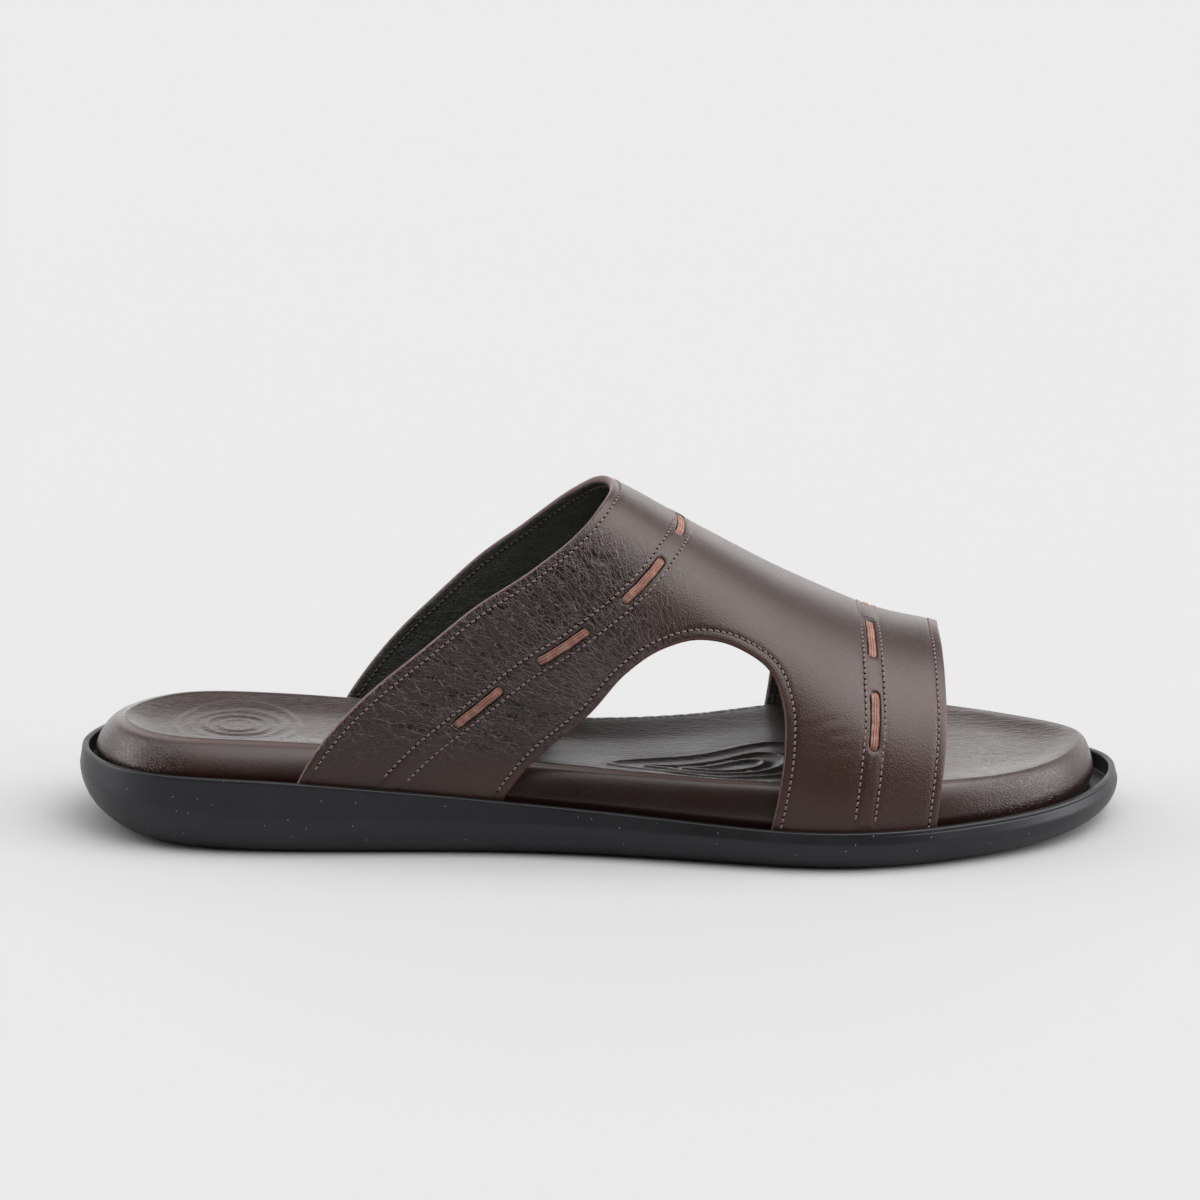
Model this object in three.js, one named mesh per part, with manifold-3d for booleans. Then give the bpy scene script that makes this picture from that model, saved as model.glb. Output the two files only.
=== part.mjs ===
// A slide sandal for the right foot, empty and standing on its sole.
//
// It is put together as a shoemaker does it: a moulded outsole with a thin raised lip, a
// leather-covered footbed that drops into the tray inside that lip, one wide upper with an arched
// cut-out on each side, whose ends go down between footbed and lip, and two rows of lace bars that
// lie in slots across the upper.
//
// Frame: +X points to the toe, +Y to the inner side of the foot, +Z up. The origin is on the floor
// under the middle of the outsole. All sizes are in millimetres and all angles in degrees.

import * as THREE from 'three';
import { mergeVertices } from 'three/addons/utils/BufferGeometryUtils.js';
import Module from 'manifold-3d';

const wasm = await Module();
wasm.setup();

// Outsole
const soleLength = 290; // heel to toe
const ballWidth = 102; // across the ball of the foot
const waistWidth = 68; // across the arch, where the sole is narrowest
const heelWidth = 74;
const heelRim = 21.5; // height of the lip's top above the floor, at the heel
const ballRim = 11.3; // and at the ball of the foot
const toeSpring = 3.6; // rise of the underside at the tip of the toe
const lipThickness = 1.8;
const lipLean = 0.8; // how far the lip's top stands in from the widest line of the wall
const lipRounding = 0.4; // of the lip's top edges
const trayDepth = 5; // from the lip's top down to the floor of the tray

// Footbed
const footbedGap = 3.2; // room between lip and footbed, where the upper's ends go down
const footbedRise = 10.7; // height of the footbed's ridge above the lip, at the ball of the foot
const sideTuck = 1.6; // how far the footbed's wall draws in at its foot
const heelShoulder = 8; // from the widest line of the footbed in to its ridge, at the heel
const ballShoulder = 4.5; // and at the ball of the foot
const heelDish = 2.6; // depth of the seat inside the ridge, at the heel
const ballDish = 1.8;

// Upper
const upperWall = 2.4;
const instepHeight = 99; // top of the upper above the floor
const clearance = 0.3; // between pieces that touch
const lipClearance = 0.45; // between the lip and the upper's ends

// Lace bars and the slots that hold them
const barLength = 16.8;
const barWidth = 3;
const barThickness = 0.9;
const barProud = 0.1; // above the leather
const barPitch = 28.8;
const barShift = -1.8; // middle of each row from the crown, to the outer side
const instepLaceInset = 22; // from the collar edge of the upper to the middle of the instep slots
const toeLaceInset = 20.6; // from the toe edge of the upper to the middle of the toe slots
const instepBars = 7;
const toeBars = 4;

// Fineness of the meshes
const stations = 44; // along the sole, on each side
const legSteps = 17; // along a leg of the upper
const crownSteps = 20; // across the upper, from cut-out to cut-out
const strapSteps = 8; // over the width of each strap

const LEATHER = { color: 0x2f1c1b, roughness: 0.5, metalness: 0 };
const FOOTBED_LEATHER = { color: 0x35211f, roughness: 0.45, metalness: 0 };
const RUBBER = { color: 0x17181b, roughness: 0.55, metalness: 0 };
const LACE = { color: 0x6e3527, roughness: 0.7, metalness: 0 };

// The widest line of the outsole seen from above, from the heel round the outer side to the toe and
// back along the inner side. "along" is a share of the sole's length, "out" a share of "of".
const outlineRows = [
  { along: -0.5, out: 0, of: heelWidth },
  { along: -0.45, out: -0.375, of: heelWidth },
  { along: -0.34, out: -0.5, of: heelWidth },
  { along: -0.2, out: -0.505, of: heelWidth },
  { along: -0.055, out: -0.572, of: waistWidth },
  { along: 0.09, out: -0.45, of: ballWidth },
  { along: 0.228, out: -0.508, of: ballWidth },
  { along: 0.36, out: -0.42, of: ballWidth },
  { along: 0.459, out: -0.23, of: ballWidth },
  { along: 0.5, out: 0.05, of: ballWidth },
  { along: 0.462, out: 0.275, of: ballWidth },
  { along: 0.36, out: 0.44, of: ballWidth },
  { along: 0.235, out: 0.492, of: ballWidth },
  { along: 0.108, out: 0.378, of: ballWidth },
  { along: -0.02, out: 0.43, of: waistWidth },
  { along: -0.17, out: 0.47, of: waistWidth },
  { along: -0.34, out: 0.5, of: heelWidth },
  { along: -0.45, out: 0.375, of: heelWidth },
];

// How heights change along the shoe. "wedge" is 1 where a height is the heel's and 0 where it is
// the ball's, "spring" is a share of the toe spring and "rise" of the footbed's rise.
const heightRows = [
  { along: -0.5, wedge: 1.04, spring: 0, rise: 0.74 },
  { along: -0.33, wedge: 1, spring: 0, rise: 0.69 },
  { along: -0.186, wedge: 0.68, spring: 0, rise: 0.8 },
  { along: -0.06, wedge: 0.37, spring: 0, rise: 0.82 },
  { along: 0.08, wedge: 0.12, spring: 0, rise: 0.89 },
  { along: 0.17, wedge: 0.01, spring: 0, rise: 0.99 },
  { along: 0.26, wedge: 0, spring: 0, rise: 0.98 },
  { along: 0.34, wedge: 0, spring: 0.16, rise: 0.9 },
  { along: 0.42, wedge: 0, spring: 0.48, rise: 0.82 },
  { along: 0.5, wedge: 0, spring: 1, rise: 0.84 },
];

// The rounding between wall and underside of the outsole: "tuck" is how far the underside stands in
// from the widest line, "round" how high the rounding reaches, both as shares of the heel's lip height.
const roundingRows = [
  { along: -0.5, tuck: 0.84, round: 0.78 },
  { along: -0.43, tuck: 0.52, round: 0.62 },
  { along: -0.3, tuck: 0.33, round: 0.5 },
  { along: 0, tuck: 0.33, round: 0.44 },
  { along: 0.25, tuck: 0.32, round: 0.38 },
  { along: 0.4, tuck: 0.28, round: 0.34 },
  { along: 0.5, tuck: 0.22, round: 0.3 },
];

// Room between lip and footbed along the shoe, as a share of the footbed gap
const gapRows = [
  { along: -0.5, share: 0.5 },
  { along: -0.42, share: 0.6 },
  { along: -0.31, share: 1 },
  { along: 0.34, share: 1 },
  { along: 0.45, share: 1.15 },
  { along: 0.5, share: 1.25 },
];

// The wall of the footbed from its foot to its ridge: "inward" is a share of the shoulder's width,
// or of the tuck below the widest line, "up" a share of the height from tray to ridge.
const footbedWallRows = [
  { tuck: 1, inward: 0, up: 0 },
  { tuck: 0.45, inward: 0, up: 0.16 },
  { tuck: 0, inward: 0.08, up: 0.4 },
  { tuck: 0, inward: 0.22, up: 0.6 },
  { tuck: 0, inward: 0.42, up: 0.79 },
  { tuck: 0, inward: 0.68, up: 0.94 },
  { tuck: 0, inward: 1, up: 1 },
];

// The seat inside the ridge: "inward" is the share of the way to the middle, "down" of the dish.
const seatRows = [
  { inward: 0.1, down: 0.1 },
  { inward: 0.24, down: 0.5 },
  { inward: 0.42, down: 0.86 },
  { inward: 0.66, down: 1 },
  { inward: 0.92, down: 1 },
];
const seatEnd = 0.12; // length of the seat's flat middle line kept back from heel and toe

// Sections of the last under the upper: height of the crown as a share of the instep height, and
// how square the section is (2 is an ellipse, more is squarer).
const lastRows = [
  { along: -0.29, crown: 1.41, power: 2.6 },
  { along: -0.14, crown: 1.195, power: 2.6 },
  { along: 0.005, crown: 0.999, power: 2.55 },
  { along: 0.105, crown: 0.827, power: 2.4 },
  { along: 0.19, crown: 0.693, power: 2.2 },
  { along: 0.26, crown: 0.599, power: 2.1 },
  { along: 0.33, crown: 0.551, power: 2.05 },
];

// Edges of the upper. "angle" is measured round the section from its crown, 90 at the tray, "outer"
// and "inner" are places along the shoe on the outer and inner side, as shares of its length.
const collarRows = [
  { angle: 90, outer: -0.29, inner: -0.262 },
  { angle: 85, outer: -0.256, inner: -0.231 },
  { angle: 80, outer: -0.221, inner: -0.2025 },
  { angle: 71.6, outer: -0.1655, inner: -0.1575 },
  { angle: 61.8, outer: -0.1155, inner: -0.115 },
  { angle: 51, outer: -0.0655, inner: -0.0725 },
  { angle: 37.6, outer: -0.0254, inner: -0.036 },
  { angle: 22.8, outer: -0.0016, inner: -0.009 },
  { angle: 0, outer: 0.0118, inner: 0.0118 },
];
const toeEdgeRows = [
  { angle: 90, outer: 0.3145, inner: 0.3145 },
  { angle: 82, outer: 0.3176, inner: 0.3176 },
  { angle: 70, outer: 0.322, inner: 0.322 },
  { angle: 54, outer: 0.3262, inner: 0.3262 },
  { angle: 36, outer: 0.3262, inner: 0.3262 },
  { angle: 17, outer: 0.3252, inner: 0.3252 },
  { angle: 0, outer: 0.3238, inner: 0.3238 },
];
// The cut-out, from the foot of its sloping back edge over its top to the foot of its front edge
const cutoutRows = [
  { angle: 90, outer: -0.0975, inner: -0.082 },
  { angle: 84.8, outer: -0.0658, inner: -0.054 },
  { angle: 75.6, outer: -0.0112, inner: -0.006 },
  { angle: 66, outer: 0.0222, inner: 0.0235 },
  { angle: 56.4, outer: 0.0579, inner: 0.0579 },
  { angle: 48.4, outer: 0.096, inner: 0.095 },
  { angle: 45.5, outer: 0.1294, inner: 0.127 },
  { angle: 47.6, outer: 0.1586, inner: 0.154 },
  { angle: 56.6, outer: 0.1712, inner: 0.166 },
  { angle: 68.6, outer: 0.1722, inner: 0.167 },
  { angle: 81, outer: 0.1657, inner: 0.161 },
  { angle: 90, outer: 0.157, inner: 0.153 },
];
const cutoutTop = 6; // the row at the top of the arch
const collarShoulder = 48; // angle on the collar that faces the top of the cut-out
const toeEdgeShoulder = 46;

const RAD = Math.PI / 180;
const GIRTH = 50; // millimetres to a radian, to draw the upper's edges at about their real shape

// Smooth interpolation of one column of a table against another, with the tables' own spacing.
function columnOf(rows, key, by = 'along') {
  const slope = (i) => {
    const a = rows[Math.max(i - 1, 0)];
    const b = rows[Math.min(i + 1, rows.length - 1)];
    return (b[key] - a[key]) / (b[by] - a[by]);
  };
  return (at) => {
    let i = 0;
    while (i < rows.length - 2 && at > rows[i + 1][by]) i += 1;
    const span = rows[i + 1][by] - rows[i][by];
    const t = THREE.MathUtils.clamp((at - rows[i][by]) / span, 0, 1);
    const ease = t * t * (3 - 2 * t);
    const bend = (t - 1) * (t - 1) * t * slope(i) + t * t * (t - 1) * slope(i + 1);
    return THREE.MathUtils.lerp(rows[i][key], rows[i + 1][key], ease) + bend * span;
  };
}

const wedgeAt = columnOf(heightRows, 'wedge');
const springAt = columnOf(heightRows, 'spring');
const riseAt = columnOf(heightRows, 'rise');
const tuckAt = columnOf(roundingRows, 'tuck');
const roundAt = columnOf(roundingRows, 'round');
const gapAt = columnOf(gapRows, 'share');
const crownAt = columnOf(lastRows, 'crown');
const powerAt = columnOf(lastRows, 'power');

const mix = (ball, heel, x) => THREE.MathUtils.lerp(ball, heel, wedgeAt(x / soleLength));
const undersideHeight = (x) => toeSpring * springAt(x / soleLength);
const rimHeight = (x) => mix(ballRim, heelRim, x) + 0.6 * undersideHeight(x);
const trayHeight = (x) => rimHeight(x) - trayDepth;
const ridgeHeight = (x) => rimHeight(x) + footbedRise * riseAt(x / soleLength);
const soleTuck = (x) => heelRim * tuckAt(x / soleLength);
const soleRound = (x) => heelRim * roundAt(x / soleLength);

// Points of a closed cubic B-spline that passes through the given ones.
function closedSpline(through, stepsPerSpan) {
  const count = through.length;
  const at = (list, i) => list[(i + count) % count];
  let poles = through.map((p) => p.clone());
  for (let round = 0; round < 30; round += 1) {
    poles = poles.map((pole, i) => {
      const passed = at(poles, i - 1).clone().add(at(poles, i + 1)).addScaledVector(pole, 4);
      return pole.clone().add(through[i]).addScaledVector(passed, -1 / 6);
    });
  }
  const points = [];
  for (let i = 0; i < count; i += 1) {
    for (let k = 0; k < stepsPerSpan; k += 1) {
      const t = k / stepsPerSpan;
      const weights = [(1 - t) ** 3, 3 * t ** 3 - 6 * t ** 2 + 4, 3 * (t - t ** 3) + 3 * t ** 2 + 1, t ** 3];
      const point = new THREE.Vector2();
      weights.forEach((w, k2) => point.addScaledVector(at(poles, i - 1 + k2), w / 6));
      points.push(point);
    }
  }
  return points;
}

// The outsole's widest line at its real size, centred on the origin. Each side runs from the tip of
// the heel to the tip of the toe, and a point also has its outward normal.
function makeOutline() {
  const drawn = outlineRows.map((r) => new THREE.Vector2(r.along * soleLength, r.out * r.of));
  const points = closedSpline(drawn, 60);
  const box = new THREE.Box2().setFromPoints(points);
  const size = box.getSize(new THREE.Vector2());
  const middle = box.getCenter(new THREE.Vector2());
  points.forEach((p) => p.sub(middle).multiply(new THREE.Vector2(soleLength, ballWidth).divide(size)));
  const count = points.length;
  const normals = points.map((p, i) => {
    const ahead = points[(i + 1) % count].clone().sub(points[(i + count - 1) % count]);
    return new THREE.Vector2(-ahead.y, ahead.x).normalize().negate();
  });
  const heel = points.reduce((best, p, i) => (p.x < points[best].x ? i : best), 0);
  const toe = points.reduce((best, p, i) => (p.x > points[best].x ? i : best), 0);
  const side = (step) => {
    const list = [];
    for (let i = heel; ; i = (i + step + count) % count) {
      list.push({ p: points[i], n: normals[i] });
      if (i === toe) return list;
    }
  };
  return { outer: side(1), inner: side(-1) };
}

const outline = makeOutline();

// The point of one side of the outline at a place along the shoe.
function outlinePoint(side, x) {
  let i = 0;
  while (i < side.length - 2 && side[i + 1].p.x < x) i += 1;
  const [a, b] = [side[i], side[i + 1]];
  const t = THREE.MathUtils.clamp((x - a.p.x) / (b.p.x - a.p.x || 1), 0, 1);
  return { p: a.p.clone().lerp(b.p, t), n: a.n.clone().lerp(b.n, t).normalize() };
}

// Places along the shoe, close together at heel and toe, and the outline's points there: the outer
// side from heel to toe, then the inner side back.
const places = Array.from({ length: stations + 1 }, (_, j) => (-soleLength / 2) * Math.cos((Math.PI * j) / stations));
const roundOutline = [
  ...places.map((x) => outlinePoint(outline.outer, x)),
  ...places.slice(1, -1).reverse().map((x) => outlinePoint(outline.inner, x)),
];

// A ring round the shoe, stood in from the outline. Both arguments are functions of the place along it.
function ring(inset, height) {
  return roundOutline.map(({ p, n }) => {
    const at = p.clone().addScaledVector(n, -inset(p.x));
    return new THREE.Vector3(at.x, at.y, height(at.x));
  });
}

function geometryOf(points, triangles) {
  const geometry = new THREE.BufferGeometry().setFromPoints(points);
  geometry.setIndex(triangles);
  return mergeVertices(geometry, 1e-4);
}

function volumeOf(points, triangles) {
  let volume = 0;
  for (let i = 0; i < triangles.length; i += 3) {
    const [a, b, c] = [0, 1, 2].map((k) => points[triangles[i + k]]);
    volume += a.dot(b.clone().cross(c)) / 6;
  }
  return volume;
}

// A closed body through rings, from the middle of its underside round the edge to the middle of its
// top. The first and last rings are closed by a ladder of faces between outer and inner side.
function bodyOfRings(rings) {
  const around = roundOutline.length;
  const triangles = [];
  const quad = (a, b, c, d) => triangles.push(a, b, c, a, c, d);
  for (let r = 0; r < rings.length - 1; r += 1) {
    for (let i = 0; i < around; i += 1) {
      const next = (i + 1) % around;
      quad(r * around + i, r * around + next, (r + 1) * around + next, (r + 1) * around + i);
    }
  }
  const ladder = (first, up) => {
    for (let j = 0; j < stations; j += 1) {
      const corners = [j, j + 1, (around - j - 1) % around, (around - j) % around].map((i) => first + i);
      const unlike = corners.filter((v, k) => v !== corners[(k + 3) % 4]);
      if (!up) unlike.reverse();
      for (let k = 1; k < unlike.length - 1; k += 1) triangles.push(unlike[0], unlike[k], unlike[k + 1]);
    }
  };
  ladder(0, false);
  ladder((rings.length - 1) * around, true);
  return geometryOf(rings.flat(), triangles);
}

function makeOutsole() {
  const roundingSteps = [0, 22, 45, 68, 90];
  const wall = roundingSteps.map((angle) =>
    ring(
      (x) => soleTuck(x) * (1 - Math.sin(angle * RAD)),
      (x) => undersideHeight(x) + soleRound(x) * (1 - Math.cos(angle * RAD)),
    ),
  );
  const lipInner = lipLean + lipThickness;
  const lip = [
    { inset: lipLean, down: lipRounding },
    { inset: lipLean + lipRounding, down: 0 },
    { inset: lipInner - lipRounding, down: 0 },
    { inset: lipInner, down: lipRounding },
    { inset: lipInner, down: trayDepth },
  ];
  const upperWallRings = lip.map(({ inset, down }) => ring(() => inset, (x) => rimHeight(x) - down));
  return bodyOfRings([...wall, ...upperWallRings]);
}

const footbedInset = (x) => lipLean + lipThickness + footbedGap * gapAt(x / soleLength);

function makeFootbed() {
  const foot = (x) => trayHeight(x) + clearance;
  const shoulder = (x) => mix(ballShoulder, heelShoulder, x);
  const wall = footbedWallRows.map((row) =>
    ring(
      (x) => footbedInset(x) + sideTuck * row.tuck + shoulder(x) * row.inward,
      (x) => THREE.MathUtils.lerp(foot(x), ridgeHeight(x), row.up),
    ),
  );
  const ridge = wall[wall.length - 1];
  const around = ridge.length;
  const reach = soleLength * (0.5 - seatEnd);
  const middle = ridge.map((p, i) => {
    const across = ridge[(around - i) % around];
    const x = THREE.MathUtils.clamp((p.x + across.x) / 2, -reach, reach);
    return new THREE.Vector3(x, (p.y + across.y) / 2, 0);
  });
  const seat = seatRows.map((row) =>
    ridge.map((p, i) => {
      const at = p.clone().lerp(middle[i], row.inward);
      at.z = ridgeHeight(at.x) - mix(ballDish, heelDish, at.x) * row.down;
      return at;
    }),
  );
  return bodyOfRings([...wall, ...seat]);
}

// The outer face of the upper: a point round the section of the last at a place along the shoe.
// The angle is 0 at the crown, -90 at the tray on the outer side and 90 at the tray on the inner side.
function lastPoint(x, angle) {
  const inset = lipLean + lipThickness + lipClearance;
  const [outer, inner] = [outline.outer, outline.inner].map((side) => {
    const { p, n } = outlinePoint(side, x);
    return p.y - (inset / n.y) * (n.x ** 2 + n.y ** 2);
  });
  const foot = trayHeight(x) + clearance;
  const rise = instepHeight * crownAt(x / soleLength) - foot;
  const middle = (outer + inner) / 2;
  const half = (inner - outer) / 2;
  const power = 2 / powerAt(x / soleLength);
  const sine = Math.sin(angle * RAD);
  const y = middle + half * Math.sign(sine) * Math.abs(sine) ** power;
  return new THREE.Vector3(x, y, foot + rise * Math.max(Math.cos(angle * RAD), 0) ** power);
}

// Directions on the upper at a point: along the shoe, round the section, and out of the leather.
function lastFrame(x, angle) {
  const near = THREE.MathUtils.clamp(angle, -89.4, 89.4);
  const step = 0.25;
  const alongShoe = lastPoint(x + step, near).sub(lastPoint(x - step, near)).divideScalar(2 * step);
  const round = lastPoint(x, near + step).sub(lastPoint(x, near - step)).divideScalar(2 * step);
  return { alongShoe, round, out: alongShoe.clone().cross(round).normalize() };
}

const outerFace = ([x, angle]) => lastPoint(x, angle);
const innerFace = ([x, angle], depth = upperWall) =>
  lastPoint(x, angle).addScaledVector(lastFrame(x, angle).out, -depth);

// Rows of an edge on one side of the upper as points over the last, in millimetres along and round.
function edgePoints(rows, side) {
  const sign = side === 'inner' ? 1 : -1;
  return rows.map((r) => new THREE.Vector3(r[side] * soleLength, sign * r.angle * RAD * GIRTH, 0));
}

const curveThrough = (points) => new THREE.CatmullRomCurve3(points, false, 'centripetal');

// An edge that goes over the crown, from its outer to its inner foot.
function edgeOverCrown(rows) {
  const inner = edgePoints(rows, 'inner').reverse().slice(1);
  return curveThrough([...edgePoints(rows, 'outer'), ...inner]);
}

// Evenly spaced places on a part of a curve, as [x, angle].
function placesOn(curve, from, to, count) {
  return Array.from({ length: count + 1 }, (_, i) => {
    const p = curve.getPointAt(THREE.MathUtils.lerp(from, to, i / count));
    return [p.x, p.y / GIRTH / RAD];
  });
}

// The share of a curve's length at which it reaches an angle, looked for from its start or its end.
function shareAtAngle(curve, angle) {
  const samples = 2000;
  for (let i = 0; i <= samples; i += 1) {
    if (curve.getPointAt(i / samples).y >= angle * RAD * GIRTH) return i / samples;
  }
  return 1;
}

const collar = edgeOverCrown(collarRows);
const toeEdge = edgeOverCrown(toeEdgeRows);

function edgeInSteps(curve, shoulder) {
  const [a, b] = [-shoulder, shoulder].map((angle) => shareAtAngle(curve, angle));
  return [
    ...placesOn(curve, 0, a, legSteps).slice(0, -1),
    ...placesOn(curve, a, b, crownSteps).slice(0, -1),
    ...placesOn(curve, b, 1, legSteps),
  ];
}

// The cut-out's edge on one side, split at the top of its arch: back and front, each from the foot up.
function cutoutInSteps(side) {
  const points = edgePoints(cutoutRows, side);
  const curve = curveThrough(points);
  const samples = 50 * (points.length - 1);
  const lengths = curve.getLengths(samples);
  const top = lengths[50 * cutoutTop] / lengths[samples];
  return { back: placesOn(curve, 0, top, legSteps), front: placesOn(curve, 1, top, legSteps) };
}

// The upper as a grid of places: two straps side by side that share the line over the crown.
function upperGrid() {
  const outer = cutoutInSteps('outer');
  const inner = cutoutInSteps('inner');
  const ends = ['outer', 'inner'].map((side) => edgePoints(cutoutRows, side)[cutoutTop]);
  const over = placesOn(new THREE.LineCurve3(...ends), 0, 1, crownSteps);
  const lineBy = (part) => [...outer[part].slice(0, -1), ...over.slice(0, -1), ...[...inner[part]].reverse()];
  return {
    instep: { from: edgeInSteps(collar, collarShoulder), to: lineBy('back') },
    toe: { from: lineBy('front'), to: edgeInSteps(toeEdge, toeEdgeShoulder) },
  };
}

// A wall of even thickness over a grid of places, closed along every free edge.
function makeUpperWall() {
  const grid = upperGrid();
  const flat = [];
  const triangles = [];
  Object.values(grid).forEach(({ from, to }) => {
    const first = flat.length;
    from.forEach((a, i) => {
      for (let j = 0; j <= strapSteps; j += 1) {
        flat.push([0, 1].map((k) => THREE.MathUtils.lerp(a[k], to[i][k], j / strapSteps)));
      }
    });
    for (let i = 0; i < from.length - 1; i += 1) {
      for (let j = 0; j < strapSteps; j += 1) {
        const a = first + i * (strapSteps + 1) + j;
        const b = a + strapSteps + 1;
        triangles.push([a, a + 1, b + 1], [a, b + 1, b]);
      }
    }
  });
  // Places that both straps share are joined, so that what is left with one triangle is a free edge.
  const seen = new Map();
  const same = flat.map(([x, angle], i) => {
    const key = `${x.toFixed(3)} ${angle.toFixed(3)}`;
    if (!seen.has(key)) seen.set(key, i);
    return seen.get(key);
  });
  const face = triangles.map((t) => t.map((i) => same[i]));
  const edges = new Map();
  face.forEach((t) => t.forEach((a, k) => edges.set(`${a} ${t[(k + 1) % 3]}`, [a, t[(k + 1) % 3]])));
  const under = flat.length;
  const all = face.flatMap((t) => [...t, ...[t[2], t[1], t[0]].map((i) => i + under)]);
  edges.forEach(([a, b]) => {
    if (!edges.has(`${b} ${a}`)) all.push(b, a, a + under, b, a + under, b + under);
  });
  const points = [...flat.map(outerFace), ...flat.map((place) => innerFace(place))];
  if (volumeOf(points, all) < 0) all.reverse();
  return geometryOf(points, all);
}

// A walk over the upper from a place, straight on in a direction for a distance.
function walk([x, angle], direction, distance) {
  const steps = Math.ceil(Math.abs(distance) / 2);
  const heading = direction.clone();
  let at = [x, angle];
  for (let i = 0; i < steps; i += 1) {
    const { alongShoe, round, out } = lastFrame(...at);
    heading.addScaledVector(out, -heading.dot(out)).normalize();
    const [aa, ar, rr] = [alongShoe.dot(alongShoe), alongShoe.dot(round), round.dot(round)];
    const [ha, hr] = [heading.dot(alongShoe), heading.dot(round)];
    const scale = distance / steps / (aa * rr - ar * ar);
    at = [at[0] + (ha * rr - hr * ar) * scale, at[1] + (hr * aa - ha * ar) * scale];
  }
  return at;
}

// The middle line of a row of slots: an even distance in from an edge, as places with their distance
// from the crown along that line.
function laceLine(curve, inset) {
  const samples = 240;
  const edge = placesOn(curve, 0.02, 0.98, samples);
  const line = edge.slice(1, -1).map((place, i) => {
    const ahead = outerFace(edge[i + 2]).sub(outerFace(edge[i]));
    const inward = lastFrame(...place).out.cross(ahead).normalize();
    return { place: walk(place, inward, inset), at: 0 };
  });
  for (let i = 1; i < line.length; i += 1) {
    line[i].at = line[i - 1].at + outerFace(line[i].place).distanceTo(outerFace(line[i - 1].place));
  }
  const crown = line.reduce((best, s) => (Math.abs(s.place[1]) < Math.abs(best.place[1]) ? s : best)).at;
  line.forEach((s) => {
    s.at -= crown;
  });
  return line;
}

// The place at a distance along such a line, with the directions ahead, across and out of the leather.
function onLine(line, distance) {
  let i = 0;
  while (i < line.length - 2 && line[i + 1].at < distance) i += 1;
  const [a, b] = [line[i], line[i + 1]];
  const t = (distance - a.at) / (b.at - a.at);
  const place = [0, 1].map((k) => THREE.MathUtils.lerp(a.place[k], b.place[k], t));
  const ahead = outerFace(b.place).sub(outerFace(a.place)).normalize();
  const { out } = lastFrame(...place);
  return { point: outerFace(place), across: out.clone().cross(ahead).normalize(), out };
}

// A bar with round ends that lies along a line of the upper, between two heights over the leather.
function makeBar(line, middle, length, width, low, high) {
  const radius = width / 2;
  const turns = [15, 40, 65, 90];
  const ends = turns.map((a) => ({ at: radius * (1 - Math.cos(a * RAD)), half: radius * Math.sin(a * RAD) }));
  const straight = [1, 2, 3].map((k) => ({ at: radius + ((length - width) * k) / 4, half: radius }));
  const back = [...ends].reverse().map(({ at, half }) => ({ at: length - at, half }));
  const cuts = [...ends, ...straight, ...back];
  const points = cuts.flatMap(({ at, half }) => {
    const { point, across, out } = onLine(line, middle - length / 2 + at);
    const corner = (side, height) => point.clone().addScaledVector(across, side * half).addScaledVector(out, height);
    return [corner(-1, low), corner(1, low), corner(1, high), corner(-1, high)];
  });
  const triangles = [];
  for (let i = 0; i < cuts.length - 1; i += 1) {
    for (let k = 0; k < 4; k += 1) {
      const [a, b] = [4 * i + k, 4 * i + ((k + 1) % 4)];
      triangles.push(a, b, b + 4, a, b + 4, a + 4);
    }
  }
  const last = 4 * (cuts.length - 1);
  triangles.push(0, 2, 1, 0, 3, 2, last, last + 1, last + 2, last, last + 2, last + 3);
  if (volumeOf(points, triangles) < 0) triangles.reverse();
  return geometryOf(points, triangles);
}

function toManifold(geometry) {
  return new wasm.Manifold(
    new wasm.Mesh({
      numProp: 3,
      vertProperties: new Float32Array(geometry.attributes.position.array),
      triVerts: new Uint32Array(geometry.index.array),
    }),
  );
}

function fromManifold(solid) {
  const { vertProperties, triVerts } = solid.getMesh();
  const geometry = new THREE.BufferGeometry();
  geometry.setAttribute('position', new THREE.BufferAttribute(Float32Array.from(vertProperties), 3));
  geometry.setIndex(new THREE.BufferAttribute(Uint32Array.from(triVerts), 1));
  return geometry;
}

const laceRows = [
  { name: 'instep_lace_bar', line: laceLine(collar, -instepLaceInset), count: instepBars },
  { name: 'toe_lace_bar', line: laceLine(toeEdge, toeLaceInset), count: toeBars },
];
const laceSpots = laceRows.flatMap(({ name, line, count }) =>
  Array.from({ length: count }, (_, i) => ({
    name: `${name}_${i + 1}`,
    line,
    middle: barShift + (i - (count - 1) / 2) * barPitch,
  })),
);

function makeUpper() {
  const slotDepth = barThickness - barProud + clearance;
  const over = 1.5; // how far a cutter stands out of the leather
  return fromManifold(
    laceSpots.reduce((solid, { line, middle }) => {
      const size = [barLength + 2 * clearance, barWidth + 2 * clearance];
      return solid.subtract(toManifold(makeBar(line, middle, ...size, -slotDepth, over)));
    }, toManifold(makeUpperWall())),
  );
}

function addMesh(group, name, geometry, finish) {
  geometry.computeVertexNormals();
  const mesh = new THREE.Mesh(geometry, new THREE.MeshStandardMaterial(finish));
  mesh.name = name;
  group.add(mesh);
}

const sandal = new THREE.Group();
addMesh(sandal, 'outsole', makeOutsole(), RUBBER);
addMesh(sandal, 'footbed', makeFootbed(), FOOTBED_LEATHER);
addMesh(sandal, 'upper', makeUpper(), LEATHER);
const barLow = barProud - barThickness;
laceSpots.forEach(({ name, line, middle }) => {
  addMesh(sandal, name, makeBar(line, middle, barLength, barWidth, barLow, barProud), LACE);
});

export default sandal;
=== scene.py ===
# The looks of a leather slide sandal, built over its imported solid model.

import math

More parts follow.
